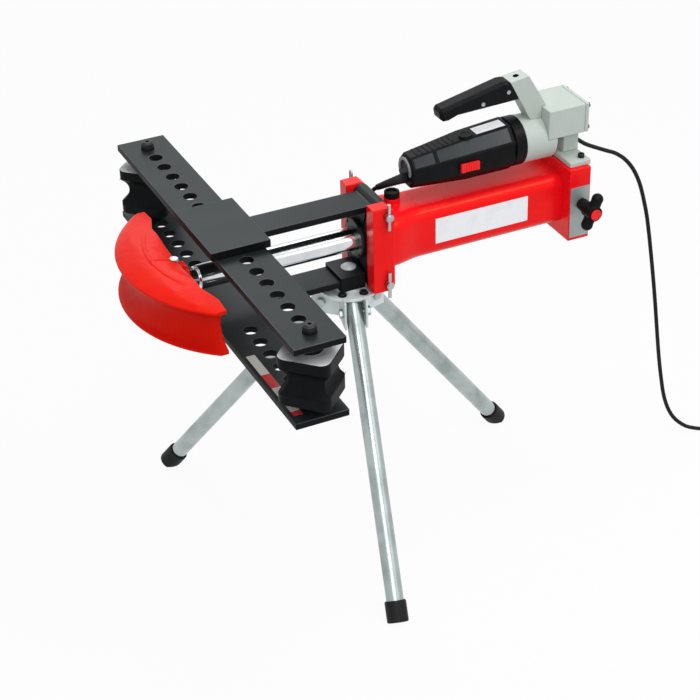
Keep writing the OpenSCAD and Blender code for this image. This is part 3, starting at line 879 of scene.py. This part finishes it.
@dataclass
class Cord:
    """The mains lead: its run, its tied coil, plug and strain relief."""

    diameter: float = 6.5
    axis_height: float = 466.0
    coil_middle: Pair = (820.0, -180.0)
    coil_radius: float = 45.0
    coil_play: float = 0.7
    coil_turns: int = 3
    coil_start: float = 53.13
    tie: float = 1.4
    plug_radius: float = 18.0
    floor_run: Sequence[Point] = ((774, -94, 2), (823, -126, 0.8))
    plug_reach: float = 74.0
    plug_way: Point = (0.8, -0.6, 0.0)
    plug_lift: Sequence[Pair] = ((14, 0.5), (28, 2.0), (44, 4.0))
    plug_neck: Sequence[Pair] = ((14, 0.4), (7, 0.0), (0, 0.0))
    coil_steps: int = 24
    route: Sequence[Point] = (
        (256, 24, 60), (254, 31, 54), (254, 40, 45), (257, 49, 34), (262, 57, 21), (270, 64, 8),
        (282, 69, -2), (300, 71, -9), (330, 71, -14), (410, 71, -12), (450, 71, -4), (482, 71, 9),
        (505, 71, 25), (520, 71, 40), (531, 70, 54), (539, 66, 65), (544, 59, 71.8), (547, 50, 72.2),
        (552, 41, 72), (569, 27, 72), (579, 24, 70.5), (589, 22, 65), (599, 20, 57), (611, 17, 49),
        (638, 9, 37), (653, 3, 31), (667, -3, 20), (679, -9, 3), (688, -15, -20), (695, -21, -52),
        (701, -28, -95), (710, -42, -200), (718, -54, -310), (723, -60, -362), (729, -66, -404),
        (739, -74, -434), (754, -83, -452),
    )
    relief: Sequence[Point] = (
        (290, 2, 77), (283, 2, 77), (274, 4.5, 74.5), (266, 10.5, 70), (260, 17, 65), (256, 24, 60),
    )
    relief_radii: Sequence[float] = (8.0, 7.6, 6.8, 6.0, 5.3, 4.6)
    relief_groove: float = 0.55

    def coil_point(self, turn: float) -> Vector:
        """Give a point of the coil.

        Args:
            turn: Turns from its start.

        Returns:
            The point, in millimetres about the ram axis.
        """
        pitch = self.diameter + self.coil_play
        inner = turn if turn < self.coil_turns else 2 * self.coil_turns - turn
        radius = self.coil_radius - pitch * inner
        climb = min(max((turn - self.coil_turns + 0.25) * 2, 0.0), 1.0)
        angle = math.radians(self.coil_start - 360 * turn)
        height = -self.axis_height + self.tie + 0.4 + self.diameter / 2 + pitch * climb
        middle = self.coil_middle
        return Vector((middle[0] + radius * math.cos(angle), middle[1] + radius * math.sin(angle), height))

    def points(self) -> List[Vector]:
        """Give the whole centreline.

        Returns:
            Points in millimetres about the ram axis.
        """
        run = self.diameter / 2 - self.axis_height
        line = [Vector(p) for p in self.route]
        line += [Vector((x, y, run + lift)) for x, y, lift in self.floor_run]
        turns = 2 * self.coil_turns
        line += [self.coil_point(k / self.coil_steps) for k in range(self.coil_steps * turns + 1)]
        end, ahead = self.coil_point(turns), Vector(self.plug_way)
        floor = Vector((end.x, end.y, self.plug_radius - self.axis_height))
        plug = floor + ahead * self.plug_reach
        for step, lift in self.plug_lift:
            line.append(end + ahead * step + Vector((0, 0, lift)))
        return line + [plug - ahead * back - Vector((0, 0, sag)) for back, sag in self.plug_neck]

    @staticmethod
    def smooth(points: Sequence[Vector], steps: int = 4) -> List[Vector]:
        """Run a smooth curve through points.

        Args:
            points: The points.
            steps: Steps between two of them.

        Returns:
            The finer points.
        """
        fine: List[Vector] = []
        for k in range(len(points) - 1):
            a, b = points[max(k - 1, 0)], points[k]
            c, d = points[k + 1], points[min(k + 2, len(points) - 1)]
            for s in range(steps):
                t = s / steps
                fine.append(
                    0.5 * (2 * b + (c - a) * t + (2 * a - 5 * b + 4 * c - d) * t ** 2
                           + (3 * b - a - 3 * c + d) * t ** 3)
                )
        return fine + [points[-1]]

    @staticmethod
    def tube(name: str, line: Sequence[Vector], radius: float) -> Piece:
        """Lay a round curve along points.

        Args:
            name: The curve's name.
            line: The points, in metres.
            radius: Its radius in millimetres.

        Returns:
            The curve object.
        """
        curve = bpy.data.curves.new(name, "CURVE")
        curve.dimensions = "3D"
        curve.bevel_depth = radius * MM
        curve.bevel_resolution = 3
        curve.use_fill_caps = True
        spline = curve.splines.new("POLY")
        spline.points.add(len(line) - 1)
        for point, place in zip(spline.points, line):
            point.co = (*place, 1.0)
        piece = bpy.data.objects.new(name, curve)
        bpy.context.scene.collection.objects.link(piece)
        return piece

    def build(self) -> None:
        line = [at(*p) for p in self.smooth(self.points())]
        lead = self.tube("mains_lead", line, self.diameter / 2)
        dress(lead, "mains_lead", Finish.RUBBER, "frame", "rubber")
        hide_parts("mains_cord", "cord_coil")
        plug = Skin("mains_plug", Finish.PLASTIC, 0.8).build()
        tie = Skin("coil_tie", Finish.PLASTIC, 0.3).build()
        self._relief()

    def _relief_radius(self, share: float) -> float:
        """Give the sleeve's radius without its grooves.

        Args:
            share: Share of its length.

        Returns:
            The radius in millimetres.
        """
        radii = self.relief_radii
        place = share * (len(radii) - 1)
        low = min(int(place), len(radii) - 2)
        return radii[low] + (radii[low + 1] - radii[low]) * (place - low)

    def _relief(self) -> None:
        """Model the strain relief as a tapered sleeve with ribs."""
        path = self.smooth([Vector(p) for p in self.relief])
        ahead = (path[1] - path[0]).normalized()
        last = self.relief_radii[0]
        clear()
        bpy.ops.mesh.primitive_circle_add(
            vertices=32, radius=last * MM, fill_type="NGON", location=at(*path[0]),
            rotation=ahead.to_track_quat("Z", "Y").to_euler(),
        )
        sleeve = fresh()
        edit_all(sleeve)
        count = len(path) - 1
        for k in range(1, count + 1):
            grooved = k % 2 and k < count
            radius = self._relief_radius(k / count) - (self.relief_groove if grooved else 0.0)
            bend = (path[min(k + 1, count)] - path[k - 1]).normalized()
            middle = at(*path[k])
            bpy.ops.mesh.extrude_region_move(TRANSFORM_OT_translate={"value": (path[k] - path[k - 1]) * MM})
            turn = ahead.rotation_difference(bend)
            if turn.angle > 1e-4:
                for axis, angle in zip("XYZ", turn.to_euler()):
                    bpy.ops.transform.rotate(
                        value=-angle, orient_axis=axis, orient_type="GLOBAL", center_override=middle
                    )
            bpy.ops.transform.resize(value=(radius / last,) * 3, center_override=middle)
            ahead, last = bend, radius
        leave()
        tidy(sleeve)
        smooth(sleeve)
        dress(sleeve, "strain_relief_sleeve", Finish.RUBBER, "frame", "rubber")
        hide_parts("strain_relief")


@dataclass
class Press:
    """Cylinder, flange, rear block, ram and former."""

    hinge: Point = (233.0, 62.0, 56.0)
    wire: float = 1.4
    wire_loop: float = 3.6
    wire_reach: float = 14.0
    label: Span = (318.6, 473.6, -19.0, 22.3)
    side: float = -41.0
    cheek: float = 34.0
    flare: Pair = (300.0, 244.0)
    flare_half: float = 41.03
    flare_wide: float = 52.5
    flare_corner: float = 18.03
    flare_wall: float = 2.0
    flare_steps: int = 24
    crest: Point = (53.0, 162.0, 45.0)
    crest_start: float = 146.0
    crest_pitch: float = 1.7
    crest_half: int = 20
    crest_sink: float = 5.0
    crest_dip: float = 2.5
    crest_radius: float = 6.4
    crown: float = 1250.0
    rib: Sequence[Point] = (
        (-112, 0, 39.6), (-104, 0, 38.8), (-96, 0, 37.8), (-88, 0, 35.6), (-80, 0, 32.4), (-73, 0, 27.2),
    )
    rib_radius: float = 7.2

    def build(self) -> None:
        """Build the press."""
        Skin("rear_block", Finish.RED, 1.4, 3).build()
        Skin("cylinder_tube", Finish.RED, 0.6, 3, 50.0).build()
        cheeks = tuple((at(0, side * self.cheek, 0), Vector((0, 1, 0))) for side in (-1, 1))
        # The recessed front between the cheeks is painted dark cast black as its shade.
        Skin("front_flange", Finish.RED, 1.6, 3, 38.0, None, self._shaded_recess, Finish.BLACK_CAST, cheeks).build()
        self._flare()
        Skin("former", Finish.RED_CAST, 1.5, 3, 42.0).build()
        self._ridges()
        Skin("ram_rod", Finish.CHROME, 0.8).build()
        Skin("former_pin", Finish.STEEL, 0.7).build()
        Skin("gland_nut", Finish.DARK_STEEL, 0.8).build()
        Skin("filler_plug", Finish.PLASTIC, 0.6, 2, 50.0).build()
        Skin("valve_plate", Finish.PLATE, 0.3, 1).build()
        Skin("valve_spindle", Finish.STEEL, 0.5).build()
        Skin("release_knob", Finish.PLASTIC, 1.2, 3, 45.0).build()
        Skin("knob_cap", Finish.RED_PLASTIC, 0.8, 3).build()
        for node in ("upper_hinge_pin", "lower_hinge_pin", "hinge_dowels"):
            Skin(node, Finish.STEEL, 0.4).build()
        self._hairpins()
        self._label()

    def _shaded_recess(self, centre: Vector, normal: Vector) -> bool:
        """Tell whether a face is the front between the flange's cheeks, given dark cast black as painted shade."""
        return normal.x < -FACING and abs(centre.y) < self.cheek * MM

    def _flare(self) -> None:
        """Cast a hollow flare from the cylinder's sides out to the wider flange."""
        start, end = self.flare
        half, steps = self.flare_half, self.flare_steps
        step = (end - start) / steps
        piece = block(at(start, -half, -half), at(start - step / 9, half, half))
        pick_edges(piece, lambda low, high: abs(low.x - high.x) > 0.05 * MM)
        bpy.ops.mesh.bevel(offset=self.flare_corner * MM, segments=8, affect="EDGES")
        pick(piece, lambda centre, normal: normal.x < -FACING)
        before = half
        for k in range(1, steps + 1):
            share = k / steps
            now = half + (self.flare_wide - half) * share * share * (3 - 2 * share)
            bpy.ops.mesh.extrude_region_move(TRANSFORM_OT_translate={"value": (step * MM, 0, 0)})
            bpy.ops.transform.resize(value=(1, now / before, 1), center_override=at(start, 0, 0))
            before = now
        tidy(piece)
        drop(piece, lambda centre, normal: abs(normal.x) > FACING)
        modify(piece, "SOLIDIFY", thickness=self.flare_wall * MM, offset=-1.0)
        smooth(piece)
        dress(piece, "flange_flare", Finish.RED, "frame", "red_paint")

    def _ridges(self) -> None:
        """Raise the soft cast crest round the former's top and bottom, and the rib that meets it."""
        x0, radius, height = self.crest
        half = self.crest_half
        arc: List[Point] = []
        for k in range(2 * half + 1):
            turn = math.radians(self.crest_start + self.crest_pitch * k)
            y = radius * math.sin(turn)
            sink = self.crest_sink + self.crest_dip * (abs(k - half) / half) ** 6
            arc.append((x0 + radius * math.cos(turn), y, height - y * y / (2 * self.crown) - sink))
        forms = (("crest", arc, self.crest_radius), ("rib", self.rib, self.rib_radius))
        for end, side in (("upper", 1), ("lower", -1)):
            parts: List[Piece] = []
            for name, points, size in forms:
                line = Cord.smooth([at(x, y, side * z) for x, y, z in points], 3)
                parts.append(solid(Cord.tube(name, line, size)))
            ridge = join(parts)
            dress(ridge, f"former_ridge_{end}", Finish.RED_CAST, "ram", "red_paint")

    def _hairpins(self) -> None:
        """Bend a wire hairpin through the far end of each hinge pin."""
        loop, reach = self.wire_loop, self.wire_reach
        turns = [k * math.pi / 10 for k in range(11)]
        bend = [Vector((0, loop - loop * math.cos(t), reach + loop * math.sin(t))) for t in turns]
        legs = [Vector((0, 6.8, 4)), Vector((0, 7.6, -2)), Vector((0, 9.4, -10))]
        line = Cord.smooth([Vector((0, 0, -reach)), Vector((0, 0, 8))] + bend + legs, 5)
        x, y, z = self.hinge
        for name, side in (("upper_hairpin", 1), ("lower_hairpin", -1)):
            wire = solid(Cord.tube(name, [at(x, y, side * z) + p * MM for p in line], self.wire))
            dress(wire, name, Finish.STEEL, "frame", "steel")
            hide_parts("hairpin_clips")

    def _label(self) -> None:
        """Lay a bare white label on the cylinder's flat near side."""
        x0, x1, z0, z1 = self.label
        film = block(at(x0, self.side - FILM, z0), at(x1, self.side, z1))
        round_edges(film, 0.12, 2)
        dress(film, "cylinder_label", Finish.LABEL, "frame", "red_paint")


@dataclass
class Wings:
    """Cross plates, arms, saddle and counter formers."""

    black_nodes: Sequence[str] = (
        "upper_cross_plate", "lower_cross_plate", "upper_saddle", "upper_arm", "lower_arm", "tripod_socket",
    )
    plate_top: float = -52.0
    strip: Span = (-33.5, -20.5, -313.0, -150.0)
    support_half: float = 35.6
    welds: Sequence[Tuple[str, str, float, float]] = (
        ("upper_weld", "upper_wing", 45.5, 62.0), ("lower_weld", "frame", 39.0, -52.0),
    )
    weld_end: float = -24.0
    bead_radius: float = 2.7
    bead_pitch: float = 3.0
    bead_count: int = 17

    def build(self) -> None:
        """Build the wings."""
        for node in self.black_nodes:
            # Upright faces get the darker cast black as painted shade on the sides.
            Skin(
                node, Finish.BLACK, 0.9, 2, 38.0, Finish.WORN_EDGE, self._upright_shade, Finish.BLACK_CAST
            ).build()
        for node in ("support_near", "support_far"):
            Skin(node, Finish.BLACK_CAST, 1.6, 3, 40.0, None, self._machined, Finish.MILLED).build()
        for node in ("pin_near", "pin_far"):
            Skin(node, Finish.DARK_STEEL, 0.7, 2, 40.0).build()
        self._strip()
        self._welds()

    @staticmethod
    def _upright_shade(_centre: Vector, normal: Vector) -> bool:
        """Tell whether a face stands upright; upright faces get darker black as painted shade."""
        return abs(normal.z) < 0.4

    def _machined(self, centre: Vector, normal: Vector) -> bool:
        """Tell whether a face is one of a counter former's bare end faces."""
        return abs(normal.z) > FACING and abs(centre.z - AXIS_AT.z) > self.support_half * MM

    def _strip(self) -> None:
        """Lay the scale strip along the lower plate's front edge."""
        x0, x1, y0, y1 = self.strip
        strip = block(at(x0, y0, self.plate_top), at(x1, y1, self.plate_top + FILM))
        round_edges(strip, 0.1, 1)
        dress(strip, "scale_strip", Finish.STRIP, "frame", "black_paint")

    def _welds(self) -> None:
        """Run weld beads where the arms meet the plates."""
        for name, body, x, z in self.welds:
            clear()
            bpy.ops.mesh.primitive_uv_sphere_add(
                segments=16, ring_count=10, radius=self.bead_radius * MM, location=at(x, self.weld_end, z),
                scale=(1.15, 0.85, 0.75),
            )
            weld = row(fresh(), Vector((0, self.bead_pitch, 0)), self.bead_count)
            modify(weld, "REMESH", mode="VOXEL", voxel_size=0.5 * MM)
            only(weld)
            bpy.ops.object.shade_smooth()
            dress(weld, name, Finish.BLACK, body, "black_paint")


@dataclass
class Pump:
    """Pump castings, motor and handle."""

    castings: Sequence[Tuple[str, float]] = (
        ("pump_base", 1.5), ("pump_pedestal", 2.0), ("gearbox_housing", 2.2), ("gearbox_cover", 1.5),
        ("motor_neck", 1.2),
    )
    stations: Sequence[Point] = (
        (290.0, 90.0, 21.5), (293.0, 90.15, 24.3), (330.0, 92.0, 28.0), (380.0, 94.5, 33.0),
        (452.0, 97.8, 35.4), (455.5, 98.0, 34.2),
    )
    outline: Sequence[Pair] = (
        (-1.0, -0.5), (-1.0, 0.4), (-0.45, 1.0), (0.45, 1.0),
        (1.0, 0.4), (1.0, -0.5), (0.5, -1.0), (-0.5, -1.0),
    )
    panels: Sequence[Pair] = ((294.0, 329.0), (331.0, 450.0))
    panel_steps: Sequence[Pair] = ((2.2, 0.0), (0.7, -0.8))
    rim: Point = (289.4, 0.0, 92.0)
    hanging_hole: Point = (471.0, 0.0, 190.0)
    label_foot: Point = (380.0, 0.0, 127.5)
    label_lean: float = math.atan2(6.0, 75.5)
    louvre: Pair = (303.0, 115.95)
    louvre_step: Point = (8.2, 0.0, 1.23)
    louvre_count: int = 8
    grip_screws: Sequence[Tuple[str, float, float]] = (
        ("grip_screw_front", 410.0, 175.0), ("grip_screw_rear", 452.0, 185.0),
    )

    def build(self) -> None:
        """Build the pump unit."""
        for node, width in self.castings:
            Skin(node, Finish.GREY_CAST, width, 3).build()
        # The inside of the hanging hole is painted black moulding as its shade.
        Skin("handle_bracket", Finish.GREY_CAST, 0.9, 3, 38.0, None, self._hole_shade, Finish.PLASTIC).build()
        Skin("pump_screws", Finish.DARK_STEEL, 0.5).build()
        self._grip()
        Skin("motor_ring", Finish.PLASTIC, 2.0, 3).build()
        Skin("power_switch", Finish.RED_PLASTIC, 0.5).build()
        self._motor()
        self._label()
        self._vents()
        self._brush_cap()
        self._grip_screws()

    def _hole_shade(self, centre: Vector, normal: Vector) -> bool:
        """Tell whether a face belongs to the hanging hole in the bracket, blackened inside as painted shade.

        Args:
            centre: The face's centre.
            normal: Its normal.

        Returns:
            Whether it does.
        """
        rim, reach, depth = at(*self.hanging_hole), 5.3 * MM, 6.0 * MM
        close = (centre.xy - rim.xy).length < reach
        return close and centre.z > rim.z - depth and (normal.z < 0.95 or centre.z < rim.z)

    @staticmethod
    def _slope(first: float, last: float, side: int) -> Test:
        """Make the test for a stretch of the motor's upper slope.

        Args:
            first: Start of the stretch along the ram, in millimetres.
            last: Its end.
            side: 1 for the far side, -1 for the near side.

        Returns:
            The test.
        """

        def test(centre: Vector, normal: Vector) -> bool:
            """Tell whether a face lies there."""
            inside = at(first, 0, 0).x < centre.x < at(last, 0, 0).x
            return inside and normal.y * side > 0.4 and normal.z > 0.3

        return test

    def _motor(self) -> None:
        """Draw the motor housing out of an eight-sided front, with set-in side panels."""
        front, middle, half = self.stations[0]
        clear()
        bpy.ops.mesh.primitive_circle_add(
            vertices=len(self.outline), radius=half * MM, fill_type="NGON", location=at(front, 0, middle)
        )
        piece = fresh()
        for vertex, (y, z) in zip(piece.data.vertices, self.outline):
            vertex.co = at(front, y * half, middle + z * half)
        edit_all(piece)
        for (x0, z0, w0), (x1, z1, w1) in zip(self.stations, self.stations[1:]):
            step = Vector((x1 - x0, 0, z1 - z0)) * MM
            bpy.ops.mesh.extrude_region_move(TRANSFORM_OT_translate={"value": step})
            bpy.ops.transform.resize(value=(1, w1 / w0, w1 / w0), center_override=at(x1, 0, z1))
        leave()
        tidy(piece)
        for finish in (Finish.PLASTIC, Finish.PANEL):
            piece.data.materials.append(finish.material)
        for side in (-1, 1):
            for first, last in self.panels:
                set_in(piece, self._slope(first, last, side), self.panel_steps, 1)
        round_edges(piece, 0.9, 3, 20.0)
        dress(piece, "motor_housing_shell", Finish.PLASTIC, "frame", "black_plastic")
        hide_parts("motor_housing")
        self._rim()

    def _rim(self) -> None:
        """Set a grey half rim round the motor's front."""
        front = at(*self.rim)
        rim = drum(front, 19.0, 3.2, Vector((1, 0, 0)), 64, "NOTHING")
        drop(rim, lambda centre, normal: centre.z < front.z - 5 * MM)
        modify(rim, "SOLIDIFY", thickness=4.5 * MM, offset=-1.0)
        tidy(rim)
        round_edges(rim, 0.9, 3)
        dress(rim, "motor_front_rim", Finish.RIM, "frame", "black_plastic")

    def _label(self) -> None:
        """Lay a bare label on the motor's top."""
        film = block(at(400, -13.5, 0), at(448, 7, 0.35))
        x, y, height = self.label_foot
        edit_all(film)
        bpy.ops.transform.rotate(
            value=self.label_lean, orient_axis="Y", orient_type="GLOBAL", center_override=at(x, y, 0)
        )
        bpy.ops.transform.translate(value=(0, 0, height * MM))
        leave()
        round_edges(film, 0.12, 1)
        dress(film, "motor_label", Finish.LABEL, "frame", "black_plastic")

    def _vents(self) -> None:
        """Add the cooling louvres over the motor's front."""
        front, top = self.louvre
        deep, half, thick = 4.2, 11.5, 1.2
        bar = block(at(front, -half, top - thick), at(front + deep, half, top + thick))
        pick(bar, faces_up)
        bpy.ops.transform.resize(value=(0.6, 0.92, 1.0), center_override=at(front + deep / 2, 0, top))
        leave()
        round_edges(bar, 0.5)
        louvres = row(bar, Vector(self.louvre_step), self.louvre_count)
        dress(louvres, "motor_louvres", Finish.PLASTIC, "frame", "black_plastic")

    def _brush_cap(self) -> None:
        """Add the round cover beside the label."""
        cap = drum(at(384, -9, 128.6), 10.5, 4.4, Vector((-0.08, 0, 1)))
        set_in(cap, faces_up, ((2.2, 0.6), (1.0, -0.8)))
        round_edges(cap, 0.6)
        dress(cap, "motor_round_cover", Finish.PLASTIC, "frame", "black_plastic")

    def _grip(self) -> None:
        """Chamfer the grip, then soften the chamfers."""
        skin = Skin("handle_grip", Finish.GRIP, 4.6, 1, 25.0)
        piece = skin.copy()
        top, foot = at(455.0, 0, 199.5), at(492.0, 0, 128.0)
        across = Vector((top.z - foot.z, 0, foot.x - top.x)).normalized()
        seat = 0.5 * MM

        def off_seat(low: Vector, high: Vector) -> bool:
            """Tell whether an edge lies off the bracket's seat."""
            return max(abs((end - top).dot(across)) for end in (low, high)) > seat

        pick_edges(piece, off_seat)
        bpy.ops.mesh.bevel(offset=skin.width * MM, segments=1, affect="EDGES", clamp_overlap=False)
        leave()
        round_edges(piece, 0.8, 3, 18.0)
        dress(piece, "handle_grip_skin", skin.finish, skin.body(), skin.slot())
        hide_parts("handle_grip")

    def _grip_screws(self) -> None:
        """Add the grip's two near screws."""
        for name, x, z in self.grip_screws:
            screw = drum(at(x, -14.2, z), 3.2, 1.6, Vector((0, -1, 0)), 32)
            set_in(screw, lambda centre, normal: normal.y < -FACING, ((1.3, 0.0), (0.3, -0.9)))
            round_edges(screw, 0.25)
            dress(screw, name, Finish.STEEL, "frame", "steel")


@dataclass
class Tripod:
    """Hub, legs and feet."""

    sides: Sequence[str] = ("right", "far", "near")
    turns: Sequence[float] = (16.0, 136.0, 256.0)
    hub_top: Point = (195.0, 0.0, -75.0)
    bolt_ring: float = 35.5
    bolt_spread: float = 27.0

    def build(self) -> None:
        """Build the tripod."""
        Skin("tripod_hub", Finish.MATT_ZINC, 0.6, 2, 40.0).build()
        self._hub_bolts()
        Skin("leg_bolts", Finish.ZINC, 0.5, 2, 40.0).build()
        for side in self.sides:
            Skin("leg_" + side, Finish.ZINC, 0.5, 2, 50.0).build()
            Skin("foot_" + side, Finish.RUBBER, 2.2, 3, 50.0).build()

    def _hub_bolts(self) -> None:
        """Add a pair of bolt heads with washers over each leg's bracket."""
        x, y, z = self.hub_top
        up = Vector((0, 0, 1))
        washer = drum(at(x, y, z + 0.4), 7.0, 1.0, up, 40)
        round_edges(washer, 0.25)
        head = drum(at(x, y, z + 2.4), 5.6, 3.4, up, 6)
        set_in(head, faces_up, ((0.7, 0.3),))
        round_edges(head, 0.3)
        bolt = join([washer, head])
        bolts: List[Piece] = []
        for turn in self.turns:
            for spread in (-self.bolt_spread, self.bolt_spread):
                angle = math.radians(turn + spread)
                shift = Vector((math.cos(angle), math.sin(angle), 0)) * self.bolt_ring * MM
                bolts.append(again(bolt, shift))
        bpy.data.objects.remove(bolt)
        dress(join(bolts), "hub_bolt_heads", Finish.DARK_STEEL, "frame", "zinc")


@dataclass
class Inside:
    """Finishes of the solids that stay as they are."""

    steel: Sequence[str] = (
        "pressure_tube", "ram_piston", "return_spring", "pump_plunger", "stator", "motor_bearings", "armature",
        "drive_gear",
    )
    rubber: Sequence[str] = ("rod_seal", "piston_seal")

    def build(self) -> None:
        """Give each hidden solid its finish."""
        for nodes, finish in ((self.steel, Finish.STEEL), (self.rubber, Finish.RUBBER)):
            for node in nodes:
                for slot in frame["nodes"][node].material_slots:
                    slot.material = finish.material


def main() -> None:
    """Build everything in order."""
    logging.basicConfig(level=logging.INFO)
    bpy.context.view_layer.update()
    Camera().build()
    Cord().build()
    Studio().build()
    for part in (Press(), Wings(), Pump(), Tripod(), Inside()):
        part.build()
        LOG.info("%s done", type(part).__name__)
    clear()


if __name__ == "__main__":
    main()
